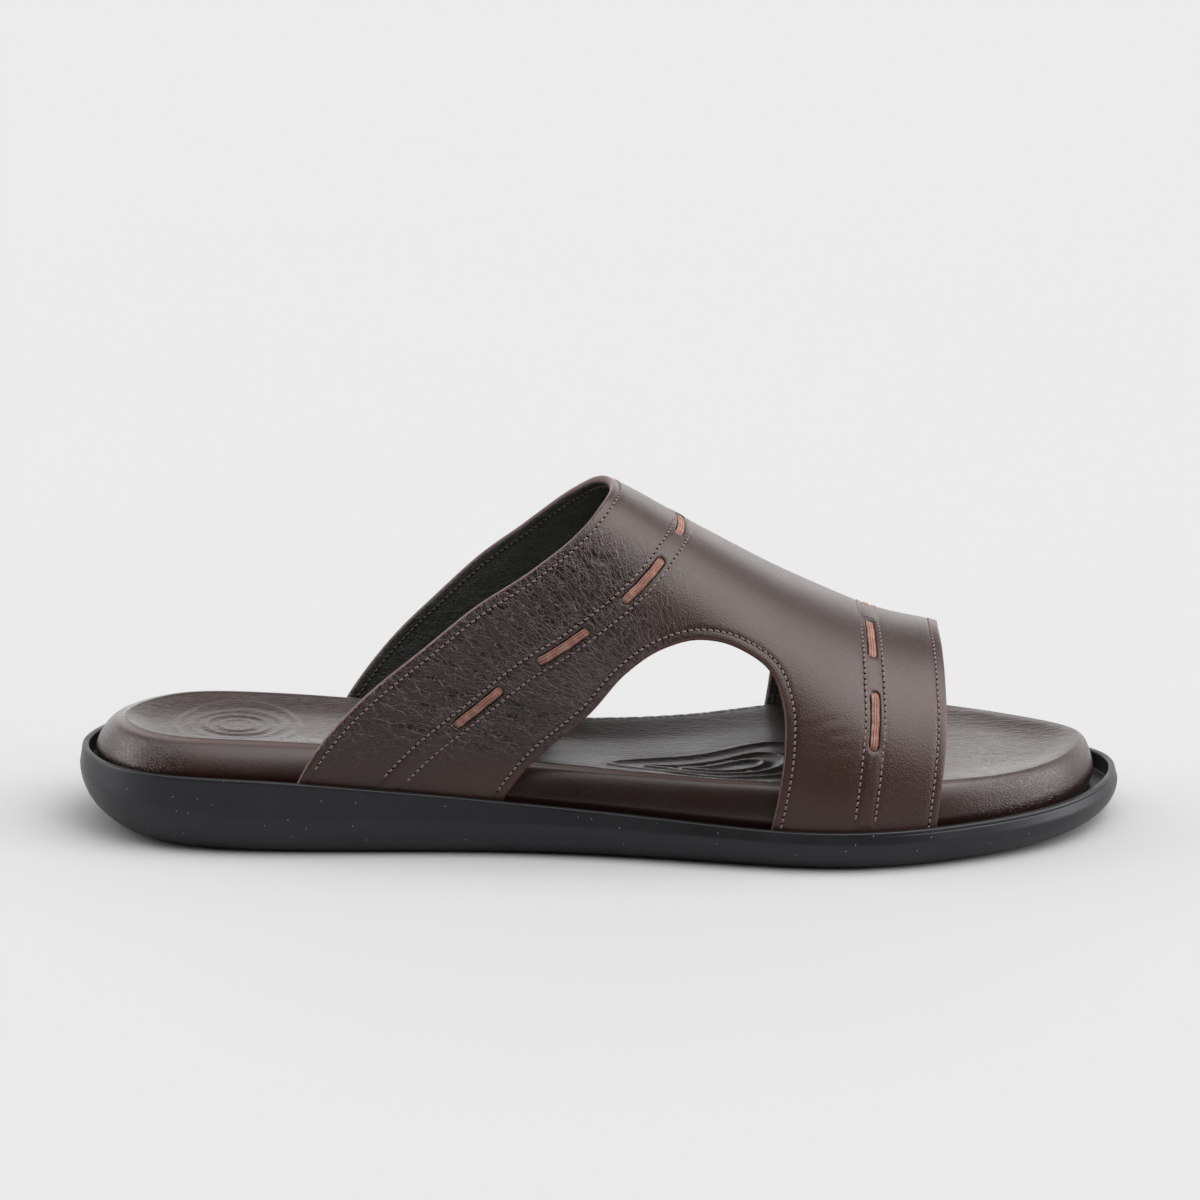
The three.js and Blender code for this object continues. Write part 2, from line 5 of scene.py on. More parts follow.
import bpy
import numpy as np
from bpy.props import FloatProperty, FloatVectorProperty, IntProperty, PointerProperty
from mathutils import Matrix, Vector
from mathutils.geometry import delaunay_2d_cdt
from mathutils.kdtree import KDTree


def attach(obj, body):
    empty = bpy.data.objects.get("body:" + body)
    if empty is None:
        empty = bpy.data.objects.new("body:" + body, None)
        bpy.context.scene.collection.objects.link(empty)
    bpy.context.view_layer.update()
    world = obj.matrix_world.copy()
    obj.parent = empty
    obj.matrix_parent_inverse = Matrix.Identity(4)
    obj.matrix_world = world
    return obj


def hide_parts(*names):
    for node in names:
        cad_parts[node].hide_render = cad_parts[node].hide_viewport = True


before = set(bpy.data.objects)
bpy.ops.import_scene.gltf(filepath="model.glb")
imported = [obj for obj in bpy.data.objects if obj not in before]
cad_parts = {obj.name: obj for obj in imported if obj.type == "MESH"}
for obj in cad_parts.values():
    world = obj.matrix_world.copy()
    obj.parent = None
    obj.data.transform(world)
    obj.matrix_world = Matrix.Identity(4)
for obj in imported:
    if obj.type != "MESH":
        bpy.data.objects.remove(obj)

bl_info = {
    "name": "Slide sandal",
    "version": (1, 0, 0),
    "blender": (4, 5, 0),
    "location": "View3D > Sidebar > Sandal",
    "description": "Builds a slide sandal in leather over a moulded sole, with its stage",
    "category": "Add Mesh",
}

MM = 0.001

# Sizes of the solid model, in millimetres. X runs to the toe, Y to the inner side, Z up.
SOLE_LENGTH = 290.0
BALL_WIDTH, WAIST_WIDTH, HEEL_WIDTH = 102.0, 68.0, 74.0
HEEL_RIM, BALL_RIM, TOE_SPRING = 21.5, 11.3, 3.6
LIP_THICKNESS, LIP_LEAN, LIP_ROUNDING, TRAY_DEPTH = 1.8, 0.8, 0.4, 5.0
FOOTBED_GAP, FOOTBED_RISE, SIDE_TUCK = 3.2, 10.7, 1.6
HEEL_SHOULDER, BALL_SHOULDER = 8.0, 4.5
HEEL_DISH, BALL_DISH = 2.6, 1.8
UPPER_WALL, INSTEP_HEIGHT, CLEARANCE, LIP_CLEARANCE = 2.4, 99.0, 0.3, 0.45
BAR_PITCH, BAR_SHIFT = 28.8, -1.8
INSTEP_INSET, TOE_INSET = 22.0, 20.6
INSTEP_BARS, TOE_BARS = 7, 4
GIRTH = 50.0  # millimetres to a radian, for drawing the upper's edges
SEAT_END = 0.12
WAIST_HOLLOW = 1.2

# Outline of the sole: place along it, and distance out, as shares of its length and a width
OUTLINE = (
    (-0.5, 0, HEEL_WIDTH), (-0.45, -0.375, HEEL_WIDTH), (-0.34, -0.5, HEEL_WIDTH),
    (-0.2, -0.505, HEEL_WIDTH), (-0.055, -0.572, WAIST_WIDTH), (0.09, -0.45, BALL_WIDTH),
    (0.228, -0.508, BALL_WIDTH), (0.36, -0.42, BALL_WIDTH), (0.459, -0.23, BALL_WIDTH),
    (0.5, 0.05, BALL_WIDTH), (0.462, 0.275, BALL_WIDTH), (0.36, 0.44, BALL_WIDTH),
    (0.235, 0.492, BALL_WIDTH), (0.108, 0.378, BALL_WIDTH), (-0.02, 0.43, WAIST_WIDTH),
    (-0.17, 0.47, WAIST_WIDTH), (-0.34, 0.5, HEEL_WIDTH), (-0.45, 0.375, HEEL_WIDTH),
)
# Place along the sole, heel's share of a height, share of the toe spring, share of the footbed's rise
HEIGHTS = (
    (-0.5, 1.04, 0, 0.74), (-0.33, 1, 0, 0.69), (-0.186, 0.68, 0, 0.8), (-0.06, 0.37, 0, 0.82),
    (0.08, 0.12, 0, 0.89), (0.17, 0.01, 0, 0.99), (0.26, 0, 0, 0.98), (0.34, 0, 0.16, 0.9),
    (0.42, 0, 0.48, 0.82), (0.5, 0, 1, 0.84),
)
# Place along, how far the underside stands in, how high its rounding reaches, by the heel's lip height
ROUNDING = (
    (-0.5, 0.84, 0.78), (-0.43, 0.52, 0.62), (-0.3, 0.33, 0.5), (0, 0.33, 0.44),
    (0.25, 0.32, 0.38), (0.4, 0.28, 0.34), (0.5, 0.22, 0.3),
)
GAP = ((-0.5, 0.5), (-0.42, 0.6), (-0.31, 1), (0.34, 1), (0.45, 1.15), (0.5, 1.25))
# Wall of the footbed: share of the tuck, share of the shoulder, share of the height
FOOTBED_WALL = (
    (1, 0, 0), (0.45, 0, 0.16), (0, 0.08, 0.4), (0, 0.22, 0.6), (0, 0.42, 0.79), (0, 0.68, 0.94), (0, 1, 1),
)
SEAT = ((0, 0), (0.1, 0.1), (0.24, 0.5), (0.42, 0.86), (0.66, 1), (1, 1))
# Last under the upper: place along, height of the crown, squareness of the section
LAST = (
    (-0.29, 1.41, 2.6), (-0.14, 1.195, 2.6), (0.005, 0.999, 2.55), (0.105, 0.827, 2.4),
    (0.19, 0.693, 2.2), (0.26, 0.599, 2.1), (0.33, 0.551, 2.05),
)
# Edges of the upper: angle from the crown, place on the outer side, place on the inner side
COLLAR = (
    (90, -0.29, -0.262), (85, -0.256, -0.231), (80, -0.221, -0.2025), (71.6, -0.1655, -0.1575),
    (61.8, -0.1155, -0.115), (51, -0.0655, -0.0725), (37.6, -0.0254, -0.036), (22.8, -0.0016, -0.009),
    (0, 0.0118, 0.0118),
)
TOE_EDGE = (
    (90, 0.3145, 0.3145), (82, 0.3176, 0.3176), (70, 0.322, 0.322), (54, 0.3262, 0.3262),
    (36, 0.3262, 0.3262), (17, 0.3252, 0.3252), (0, 0.3238, 0.3238),
)
CUTOUT = (
    (90, -0.0975, -0.082), (84.8, -0.0658, -0.054), (75.6, -0.0112, -0.006), (66, 0.0222, 0.0235),
    (56.4, 0.0579, 0.0579), (48.4, 0.096, 0.095), (45.5, 0.1294, 0.127), (47.6, 0.1586, 0.154),
    (56.6, 0.1712, 0.166), (68.6, 0.1722, 0.167), (81, 0.1657, 0.161), (90, 0.157, 0.153),
)

# Creases of the outer side: places along the shoe in millimetres and angles
# from the crown in degrees, then depth and half width in millimetres
CREASES = (
    (((-41, 70), (-35, 70), (-30, 69)), 0.3, 1.1),
    (((-40, 71), (-34, 71), (-31, 71), (-29, 73)), 0.26, 1.0),
    (((-45, 72), (-40, 72), (-36, 72), (-32, 73), (-29, 74)), 0.34, 1.1),
    (((-48, 75), (-44, 75), (-41, 76), (-38, 76), (-34, 75)), 0.32, 1.0),
    (((-50, 77), (-45, 77), (-40, 77), (-35, 76)), 0.34, 1.1),
    (((-53, 79), (-47, 79), (-42, 79)), 0.26, 1.0),
    (((-58, 82), (-53, 82), (-48, 82), (-43, 82)), 0.3, 1.1),
    (((-25, 76), (-21, 76), (-17, 77), (-11, 76)), 0.26, 1.0),
    (((-27, 78), (-22, 78), (-19, 79), (-16, 80)), 0.3, 1.0),
    (((-32, 81), (-27, 81), (-22, 82), (-18, 82)), 0.3, 1.0),
    (((-37, 83), (-32, 83), (-26, 83)), 0.24, 1.0),
    (((-9, 43), (-4, 44), (-1, 47)), 0.24, 1.0),
    (((-7, 41), (-1, 41), (4, 39)), 0.2, 1.0),
    (((-13, 48), (-10, 50), (-7, 54), (-5, 56)), 0.34, 1.2),
    (((-16, 51), (-13, 53), (-10, 56), (-9, 58)), 0.3, 1.1),
    (((-20, 53), (-17, 56), (-14, 59), (-12, 60)), 0.36, 1.2),
    (((-24, 57), (-20, 58), (-17, 61), (-15, 63)), 0.32, 1.1),
    (((-26, 59), (-23, 61), (-20, 64), (-18, 65)), 0.36, 1.2),
    (((-30, 61), (-26, 64), (-22, 66)), 0.34, 1.2),
    (((-34, 64), (-29, 66), (-25, 68)), 0.38, 1.2),
    (((-38, 67), (-33, 68), (-28, 70)), 0.32, 1.1),
    (((-9, 53), (-4, 53), (2, 52)), 0.2, 1.0),
    (((54, 62), (59, 59), (63, 56), (66, 55)), 0.07, 1.2),
    (((54, 64), (59, 63), (64, 60), (69, 58)), 0.09, 1.2),
    (((54, 67), (58, 66), (63, 64), (69, 62)), 0.07, 1.2),
)
# Rings pressed into the heel of the seat: middle and radii. Drops on the forefoot: points round each.
HEEL_RINGS = ((-101.0, 0.5), (5.0, 8.8, 12.8, 17.4), (0.8, 1.0, 0.6, 0.6))
DROPS = (
    ((2.5, -16), (8.5, -11.6), (16, -9.6), (27, -6.7), (36, -1.6), (43.5, 2.6), (51, 3.4), (57.5, -2),
     (60, -11), (57.5, -20.5), (50, -28), (42.5, -32.3), (34.5, -33.4), (26.7, -31.5),
     (18.4, -27.5), (9, -22.2)),
    ((13, -17.8), (17.5, -17.2), (22.8, -16.3), (31.2, -12.9), (38, -8.4), (45, -5.6), (50.5, -9.5),
     (51, -16), (46.5, -22.4), (39.4, -26.4), (31, -27.3), (24.7, -25), (18.5, -20.9)),
    ((23, -19.6), (27.5, -18.9), (32.5, -16.6), (38, -13.2), (43, -12.2), (45, -15.2), (42.5, -19.6),
     (37, -22.6), (31.5, -23), (27, -21.4)),
)


# ---- Reading the tables ----

def column(rows, key):
    """Smooth reading of one column of a table against its first one."""
    at = np.array([row[0] for row in rows], float)
    value = np.array([row[key] for row in rows], float)
    last = len(rows) - 1
    before = np.maximum(np.arange(last + 1) - 1, 0)
    after = np.minimum(np.arange(last + 1) + 1, last)
    slope = (value[after] - value[before]) / (at[after] - at[before])

    def read(place):
        i = np.clip(np.searchsorted(at, place, side="right") - 1, 0, last - 1)
        span = at[i + 1] - at[i]
        t = np.clip((place - at[i]) / span, 0, 1)
        bend = (t - 1) ** 2 * t * slope[i] + t * t * (t - 1) * slope[i + 1]
        return value[i] + (value[i + 1] - value[i]) * t * t * (3 - 2 * t) + bend * span

    return read


wedge_at, spring_at, rise_at = (column(HEIGHTS, k) for k in (1, 2, 3))
tuck_at, round_at = (column(ROUNDING, k) for k in (1, 2))
gap_at, crown_at, power_at = column(GAP, 1), column(LAST, 1), column(LAST, 2)
seat_down = column(SEAT, 1)


def mix(ball, heel, x):
    return ball + (heel - ball) * wedge_at(x / SOLE_LENGTH)


def underside_height(x):
    return TOE_SPRING * spring_at(x / SOLE_LENGTH)


def rim_height(x):
    return mix(BALL_RIM, HEEL_RIM, x) + 0.6 * underside_height(x)


def tray_height(x):
    return rim_height(x) - TRAY_DEPTH


def ridge_height(x):
    return rim_height(x) + FOOTBED_RISE * rise_at(x / SOLE_LENGTH)


def unit(vectors):
    return vectors / np.maximum(np.linalg.norm(vectors, axis=-1, keepdims=True), 1e-12)


def lengths_along(points):
    return np.concatenate([[0], np.cumsum(np.linalg.norm(np.diff(points, axis=0), axis=1))])


def bell(distance, width):
    return np.exp(-((distance / width) ** 2))


def ease(value, low, high):
    t = np.clip((value - low) / (high - low), 0, 1)
    return t * t * (3 - 2 * t)


def closed_spline(through, steps):
    """Points of a closed cubic B-spline that passes through the given ones."""
    through = np.array(through, float)
    count = len(through)
    turn = np.eye(count)
    band = (4 * turn + np.roll(turn, 1, axis=0) + np.roll(turn, -1, axis=0)) / 6
    poles = np.linalg.solve(band, through)
    t = np.arange(steps) / steps
    weights = [(1 - t) ** 3, 3 * t ** 3 - 6 * t ** 2 + 4, 3 * (t - t ** 3) + 3 * t ** 2 + 1, t ** 3]
    weights = np.stack(weights) / 6
    spans = [weights.T @ poles[[(i + k - 1) % count for k in range(4)]] for i in range(count)]
    return np.concatenate(spans)


def smooth_line(points, steps=40):
    """Centripetal spline through the points of an open line."""
    p = np.array(points, float)
    p = np.concatenate([[2 * p[0] - p[1]], p, [2 * p[-1] - p[-2]]])
    t = (np.arange(steps) / steps)[:, None]
    parts = []
    for a, b, c, d in zip(p, p[1:], p[2:], p[3:]):
        d0, d1, d2 = (math.sqrt(np.linalg.norm(v - u)) for u, v in ((a, b), (b, c), (c, d)))
        m1 = ((b - a) / d0 - (c - a) / (d0 + d1) + (c - b) / d1) * d1
        m2 = ((c - b) / d1 - (d - b) / (d1 + d2) + (d - c) / d2) * d1
        parts.append(b + m1 * t + (3 * (c - b) - 2 * m1 - m2) * t ** 2 + (2 * (b - c) + m1 + m2) * t ** 3)
    return np.concatenate(parts + [p[-2:-1]])


# ---- The sole's outline and rings round it ----

def sole_outline():
    """The two sides of the outline, each as rows of x, y and outward normal, from heel to toe."""
    points = closed_spline([(a * SOLE_LENGTH, out * of) for a, out, of in OUTLINE], 60)
    low, high = points.min(axis=0), points.max(axis=0)
    points = (points - (low + high) / 2) * (np.array([SOLE_LENGTH, BALL_WIDTH]) / (high - low))
    ahead = unit(np.roll(points, -1, axis=0) - np.roll(points, 1, axis=0))
    rows = np.column_stack([points, ahead[:, 1], -ahead[:, 0]])
    count, heel, toe = len(rows), int(points[:, 0].argmin()), int(points[:, 0].argmax())
    outer = rows[[(heel + k) % count for k in range((toe - heel) % count + 1)]]
    inner = rows[[(heel - k) % count for k in range((heel - toe) % count + 1)]]
    return outer, inner


OUTER, INNER = sole_outline()


def side_at(side, x):
    """Point and outward normal of a side of the outline, at places along the shoe."""
    y, nx, ny = (np.interp(x, side[:, 0], side[:, k]) for k in (1, 2, 3))
    size = np.hypot(nx, ny)
    return y, nx / size, ny / size


STATIONS = 230


def around():
    """The outline's points from heel to toe along the outer side, and back along the inner side."""
    x = -SOLE_LENGTH / 2 * np.cos(np.pi * np.arange(STATIONS + 1) / STATIONS)
    sides = [np.column_stack([x, *side_at(side, x)]) for side in (OUTER, INNER)]
    return np.concatenate([sides[0], sides[1][1:-1][::-1]])


def ring(inset, height):
    """A ring round the shoe, stood in from the outline, at a height. Both are functions of x."""
    base = around()
    at = base[:, :2] - base[:, 2:] * np.broadcast_to(inset(base[:, 0]), len(base))[:, None]
    return np.column_stack([at, np.broadcast_to(height(at[:, 0]), len(at))])


def ring_faces(count, rows):
    """Faces between rings of equal count, each ring following the one before."""
    i = np.arange(count)
    j = (i + 1) % count
    return [np.column_stack([r * count + i, r * count + j, (r + 1) * count + j, (r + 1) * count + i])
            for r in range(rows - 1)]


# ---- The last: the surface that the upper's outer face follows ----

def last_point(x, turn):
    """Point of the upper's face at a place along the shoe and a turn from the crown, in radians."""
    inset = LIP_LEAN + LIP_THICKNESS + LIP_CLEARANCE
    walls = []
    for side in (OUTER, INNER):
        y, _, ny = side_at(side, x)
        walls.append(y - inset / ny)
    foot = tray_height(x) + CLEARANCE
    rise = INSTEP_HEIGHT * crown_at(x / SOLE_LENGTH) - foot
    power = power_at(x / SOLE_LENGTH)
    sine, cosine = np.sin(turn), np.cos(turn)
    reach = (np.abs(sine) ** power + np.abs(cosine) ** power) ** (-1 / power)
    middle, half = (walls[0] + walls[1]) / 2, (walls[1] - walls[0]) / 2
    return np.stack([x, middle + half * reach * sine, foot + rise * reach * cosine], axis=-1)


def last_frame(x, turn):
    """Directions along the shoe, round the section and out of the leather."""
    step, lean = 0.25, math.radians(0.25)
    along = (last_point(x + step, turn) - last_point(x - step, turn)) / (2 * step)
    across = (last_point(x, turn + lean) - last_point(x, turn - lean)) / (2 * lean)
    return along, across, unit(np.cross(along, across))


def turn_of(x, degrees):
    """The turn that belongs to an angle of the edge tables."""
    share = 2 / power_at(x / SOLE_LENGTH)
    angle = np.radians(np.abs(degrees))
    turn = np.arctan2(np.sin(angle) ** share, np.maximum(np.cos(angle), 0) ** share)
    return np.sign(degrees) * turn


def on_last(place):
    return last_point(place[:, 0], place[:, 1])


def out_of(place):
    return last_frame(place[:, 0], place[:, 1])[2]


def edge_places(rows, sides):
    """Places of an edge over the last, evenly dense. Sides are the outer and inner columns used."""
    points = []
    for sign, key in sides:
        side = [(row[key] * SOLE_LENGTH, sign * math.radians(row[0]) * GIRTH) for row in rows]
        points += side if not points else side[::-1][1:]
    line = smooth_line(points)
    return np.column_stack([line[:, 0], turn_of(line[:, 0], np.degrees(line[:, 1] / GIRTH))])


def evenly(line, spacing):
    at = lengths_along(on_last(line))
    marks = np.linspace(0, at[-1], max(2, round(at[-1] / spacing)) + 1)
    return np.column_stack([np.interp(marks, at, line[:, k]) for k in (0, 1)])


def walk(place, direction, distance):
    """Places reached straight on over the leather, from each place in its direction."""
    distance = np.broadcast_to(np.asarray(distance, float), len(place))
    steps = max(1, math.ceil(np.abs(distance).max() / 1.5))
    at, heading = place.astype(float).copy(), direction.copy()
    for _ in range(steps):
        along, across, out = last_frame(at[:, 0], at[:, 1])
        heading = unit(heading - out * (heading * out).sum(axis=1, keepdims=True))
        aa, ar, rr = ((u * v).sum(axis=1) for u, v in ((along, along), (along, across), (across, across)))
        ha, hr = (heading * along).sum(axis=1), (heading * across).sum(axis=1)
        scale = distance / steps / (aa * rr - ar * ar)
        at[:, 0] += (ha * rr - hr * ar) * scale
        at[:, 1] += (hr * aa - ha * ar) * scale
    return at


def inward_of(line):
    """Direction in from an edge, where the leather lies to the right of it."""
    points = on_last(line)
    ahead = unit(np.gradient(points, axis=0))
    return unit(np.cross(ahead, out_of(line)))


COLLAR_LINE = edge_places(COLLAR, ((-1, 1), (1, 2)))
TOE_LINE = edge_places(TOE_EDGE, ((-1, 1), (1, 2)))
CUTOUTS = {"outer": edge_places(CUTOUT, ((-1, 1),)), "inner": edge_places(CUTOUT, ((1, 2),))}


class LaceRow:
    """The middle line of a row of slots, with places by distance from the crown and across it."""

    def __init__(self, edge, inset, side, count):
        line = evenly(edge, 1.0)
        line = line[4:-4]
        self.line = walk(line, inward_of(line) * side, inset)
        self.points = on_last(self.line)
        at = lengths_along(self.points)
        self.at = at - np.interp(0, self.line[:, 1], at)
        self.middles = [BAR_SHIFT + (i - (count - 1) / 2) * BAR_PITCH for i in range(count)]
        ahead = unit(np.gradient(self.points, axis=0))
        self.across = unit(np.cross(out_of(self.line), ahead))
        self.ahead = ahead

    def place(self, at, across):
        at = np.asarray(at, float)
        base = np.column_stack([np.interp(at, self.at, self.line[:, k]) for k in (0, 1)])
        side = unit(np.column_stack([np.interp(at, self.at, self.across[:, k]) for k in range(3)]))
        return walk(base, side, across)

    def read(self, points):
        """Distance along and across the row of points near it."""
        tree = tree_of(self.points)
        near = nearest(tree, points)
        away = points - self.points[near]
        return self.at[near] + (away * self.ahead[near]).sum(axis=1), (away * self.across[near]).sum(axis=1)


def tree_of(points):
    tree = KDTree(len(points))
    for i, p in enumerate(points):
        tree.insert(p, i)
    tree.balance()
    return tree


def nearest(tree, points):
    return np.array([tree.find(p)[1] for p in points])


def distance_to(line, points):
    """Distance of points from an open line of points, and the place on it as a share of its length."""
    near = nearest(tree_of(line), points)
    best = np.full(len(points), np.inf)
    share = np.zeros(len(points))
    at = lengths_along(line)
    for a in (np.maximum(near - 1, 0), np.minimum(near, len(line) - 2)):
        start, span = line[a], line[a + 1] - line[a]
        t = np.clip(((points - start) * span).sum(axis=1) / np.maximum((span ** 2).sum(axis=1), 1e-12), 0, 1)
        away = np.linalg.norm(points - start - span * t[:, None], axis=1)
        closer = away < best
        best[closer] = away[closer]
        share[closer] = (at[a] + t * (at[a + 1] - at[a]))[closer] / at[-1]
    return best, share


INSTEP_ROW = LaceRow(COLLAR_LINE, INSTEP_INSET, 1, INSTEP_BARS)
TOE_ROW = LaceRow(TOE_LINE, TOE_INSET, -1, TOE_BARS)


# ---- Meshes ----

def inside_columns(loop, columns):
    """For each column of a flat region, the values at which its closed outline crosses it."""
    a, b = loop, np.roll(loop, -1, axis=0)
    crossings = []
    for x in columns:
        cut = (a[:, 0] <= x) != (b[:, 0] <= x)
        t = (x - a[cut, 0]) / (b[cut, 0] - a[cut, 0])
        crossings.append(np.sort(a[cut, 1] + t * (b[cut, 1] - a[cut, 1])))
    return crossings


def lattice(loop, spacing, near, keep_off):
    """Evenly spread points inside a closed outline, kept off the points that are already there."""
    step = spacing * 0.866
    columns = np.arange(loop[:, 0].min() + step, loop[:, 0].max(), step)
    found = []
    for k, (x, cuts) in enumerate(zip(columns, inside_columns(loop, columns))):
        for low, high in zip(cuts[::2], cuts[1::2]):
            y = np.arange(math.ceil(low / spacing) * spacing + (k % 2) * spacing / 2, high, spacing)
            found.append(np.column_stack([np.full(len(y), x), y]))
    found = np.concatenate(found)
    tree = tree_of(np.column_stack([near, np.zeros(len(near))]))
    away = np.array([tree.find((p[0], p[1], 0))[2] for p in found])
    return found[away > keep_off]


def triangulate(points, border):
    """Triangles over flat points, inside the closed border made by the first ones."""
    edges = [(i, (i + 1) % border) for i in range(border)]
    flat = [Vector(p) for p in points]
    _, _, faces, origin, _, _ = delaunay_2d_cdt(flat, edges, [], 1, 1e-6)
    ids = np.array([o[0] for o in origin])
    return ids[np.array(faces)]


def make_mesh(name, points, faces, materials, index=None, fields=None, smooth=True):
    """A mesh object from millimetre points and faces, with its materials and point fields."""
    mesh = bpy.data.meshes.new(name)
    faces = [list(map(int, f)) for f in faces]
    mesh.from_pydata((np.asarray(points) * MM).tolist(), [], faces)
    for material in materials:
        mesh.materials.append(material)
    if index is not None:
        mesh.polygons.foreach_set("material_index", np.asarray(index, dtype=np.int32))
    for key, values in (fields or {}).items():
        field = mesh.attributes.new(key, "FLOAT", "POINT")
        field.data.foreach_set("value", np.asarray(values, dtype=np.float32))
    mesh.polygons.foreach_set("use_smooth", np.full(len(mesh.polygons), smooth))
    mesh.update()
    mesh.validate()
    piece = bpy.data.objects.new(name, mesh)
    bpy.context.scene.collection.objects.link(piece)
    return piece


def volume_of(points, triangles):
    a, b, c = (points[triangles[:, k]] for k in range(3))
    return float((a * np.cross(b, c)).sum() / 6)


def finish_piece(piece, slot, *nodes, fill=None):
    if nodes:
        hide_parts(*nodes)
    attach(piece, "root")


# ---- Materials ----

class Nodes:
    """Short ways to add nodes to a tree. The prefix begins the type of each node."""

    def __init__(self, tree, prefix="ShaderNode"):
        self.tree, self.prefix = tree, prefix

    def node(self, kind, inputs=None, **settings):
        """A new node, with its settings and its inputs: an input is linked to a socket or given a value."""
        made = self.tree.nodes.new(self.prefix + kind)
        for key, value in settings.items():
            setattr(made, key, value)
        for key, value in (inputs or {}).items():
            self.put(made.inputs[key], value)
        return made

    def put(self, socket, value):
        if isinstance(value, bpy.types.NodeSocket):
            self.tree.links.new(value, socket)
        else:
            socket.default_value = value

    def math(self, operation, a, b=0.0, c=0.0):
        return self.node("Math", {0: a, 1: b, 2: c}, operation=operation).outputs[0]

    def range(self, value, low, high, to_low=0.0, to_high=1.0):
        """A value taken smoothly from one span to another."""
        ends = {"Value": value, "From Min": low, "From Max": high, "To Min": to_low, "To Max": to_high}
        return self.node("MapRange", ends, interpolation_type="SMOOTHSTEP").outputs["Result"]


class Finish(Nodes):
    """A material, and short ways to add its patterns."""

    def __init__(self, name):
        self.material = bpy.data.materials.new(name)
        self.material.use_nodes = True
        super().__init__(self.material.node_tree)
        self.surface = self.tree.nodes["Principled BSDF"]
        self.place = self.node("TexCoord").outputs["Object"]

    def set(self, **values):
        for key, value in values.items():
            self.put(self.surface.inputs[key.replace("_", " ")], value)

    def field(self, name):
        return self.node("Attribute", attribute_name=name).outputs["Fac"]

    def stretched(self, scale, turn=(0, 0, 0)):
        given = {"Vector": self.place, "Scale": scale, "Rotation": turn}
        return self.node("Mapping", given).outputs["Vector"]

    def noise(self, scale, detail=3.0, rough=0.5, at=None):
        inputs = {"Vector": at or self.place, "Scale": scale, "Detail": detail, "Roughness": rough}
        return self.node("TexNoise", inputs).outputs["Fac"]

    def cells(self, scale, feature="SMOOTH_F1", at=None):
        given = {"Vector": at or self.place, "Scale": scale}
        return self.node("TexVoronoi", given, feature=feature).outputs["Distance"]

    def warped(self, scale, amount, at=None):
        """The coordinates moved about by noise, so that a pattern on them isn't regular."""
        at = at or self.place
        noise = self.node("TexNoise", {"Vector": at, "Scale": scale, "Detail": 2}).outputs["Color"]
        push = self.node("VectorMath", {0: noise, 1: (0.5, 0.5, 0.5)}, operation="SUBTRACT").outputs["Vector"]
        push = self.node("VectorMath", {0: push, "Scale": amount}, operation="SCALE").outputs["Vector"]
        return self.node("VectorMath", {0: push, 1: at}, operation="ADD").outputs["Vector"]

    def fan(self, x, z, arc, reach, depth):
        """Coordinates that spread like a fan about a line across the shoe."""
        at = self.node("SeparateXYZ", {0: self.place}).outputs
        dx, dz = self.math("SUBTRACT", x, at["X"]), self.math("SUBTRACT", at["Z"], z)
        turn = self.math("MULTIPLY", self.math("ARCTAN2", dz, dx), arc)
        away = self.math("SQRT", self.math("MULTIPLY_ADD", dx, dx, self.math("MULTIPLY", dz, dz)))
        spread = {"X": turn, "Y": self.math("MULTIPLY", away, reach),
                  "Z": self.math("MULTIPLY", at["Y"], depth)}
        return self.node("CombineXYZ", spread).outputs[0]

    def blend(self, share, a, b):
        made = self.node("Mix", data_type="RGBA")
        self.put(made.inputs["Factor"], share)
        colours = [s for s in made.inputs if s.type == "RGBA"]
        for socket, value in zip(colours, (a, b)):
            self.put(socket, (*value, 1.0) if isinstance(value, (tuple, list)) and len(value) == 3 else value)
        return [s for s in made.outputs if s.type == "RGBA"][0]

    def bump(self, height, distance, strength=1.0):
        given = {"Height": height, "Distance": distance, "Strength": strength}
        return self.node("Bump", given).outputs["Normal"]


def colour(value):
    """Linear colour as a plain tuple, from a colour property."""
    return tuple(value)[:3]


def hexed(text):
    """Linear colour of a screen colour."""
    screen = [int(text[i:i + 2], 16) / 255 for i in (0, 2, 4)]
    return tuple(c / 12.92 if c <= 0.04045 else ((c + 0.055) / 1.055) ** 2.4 for c in screen)


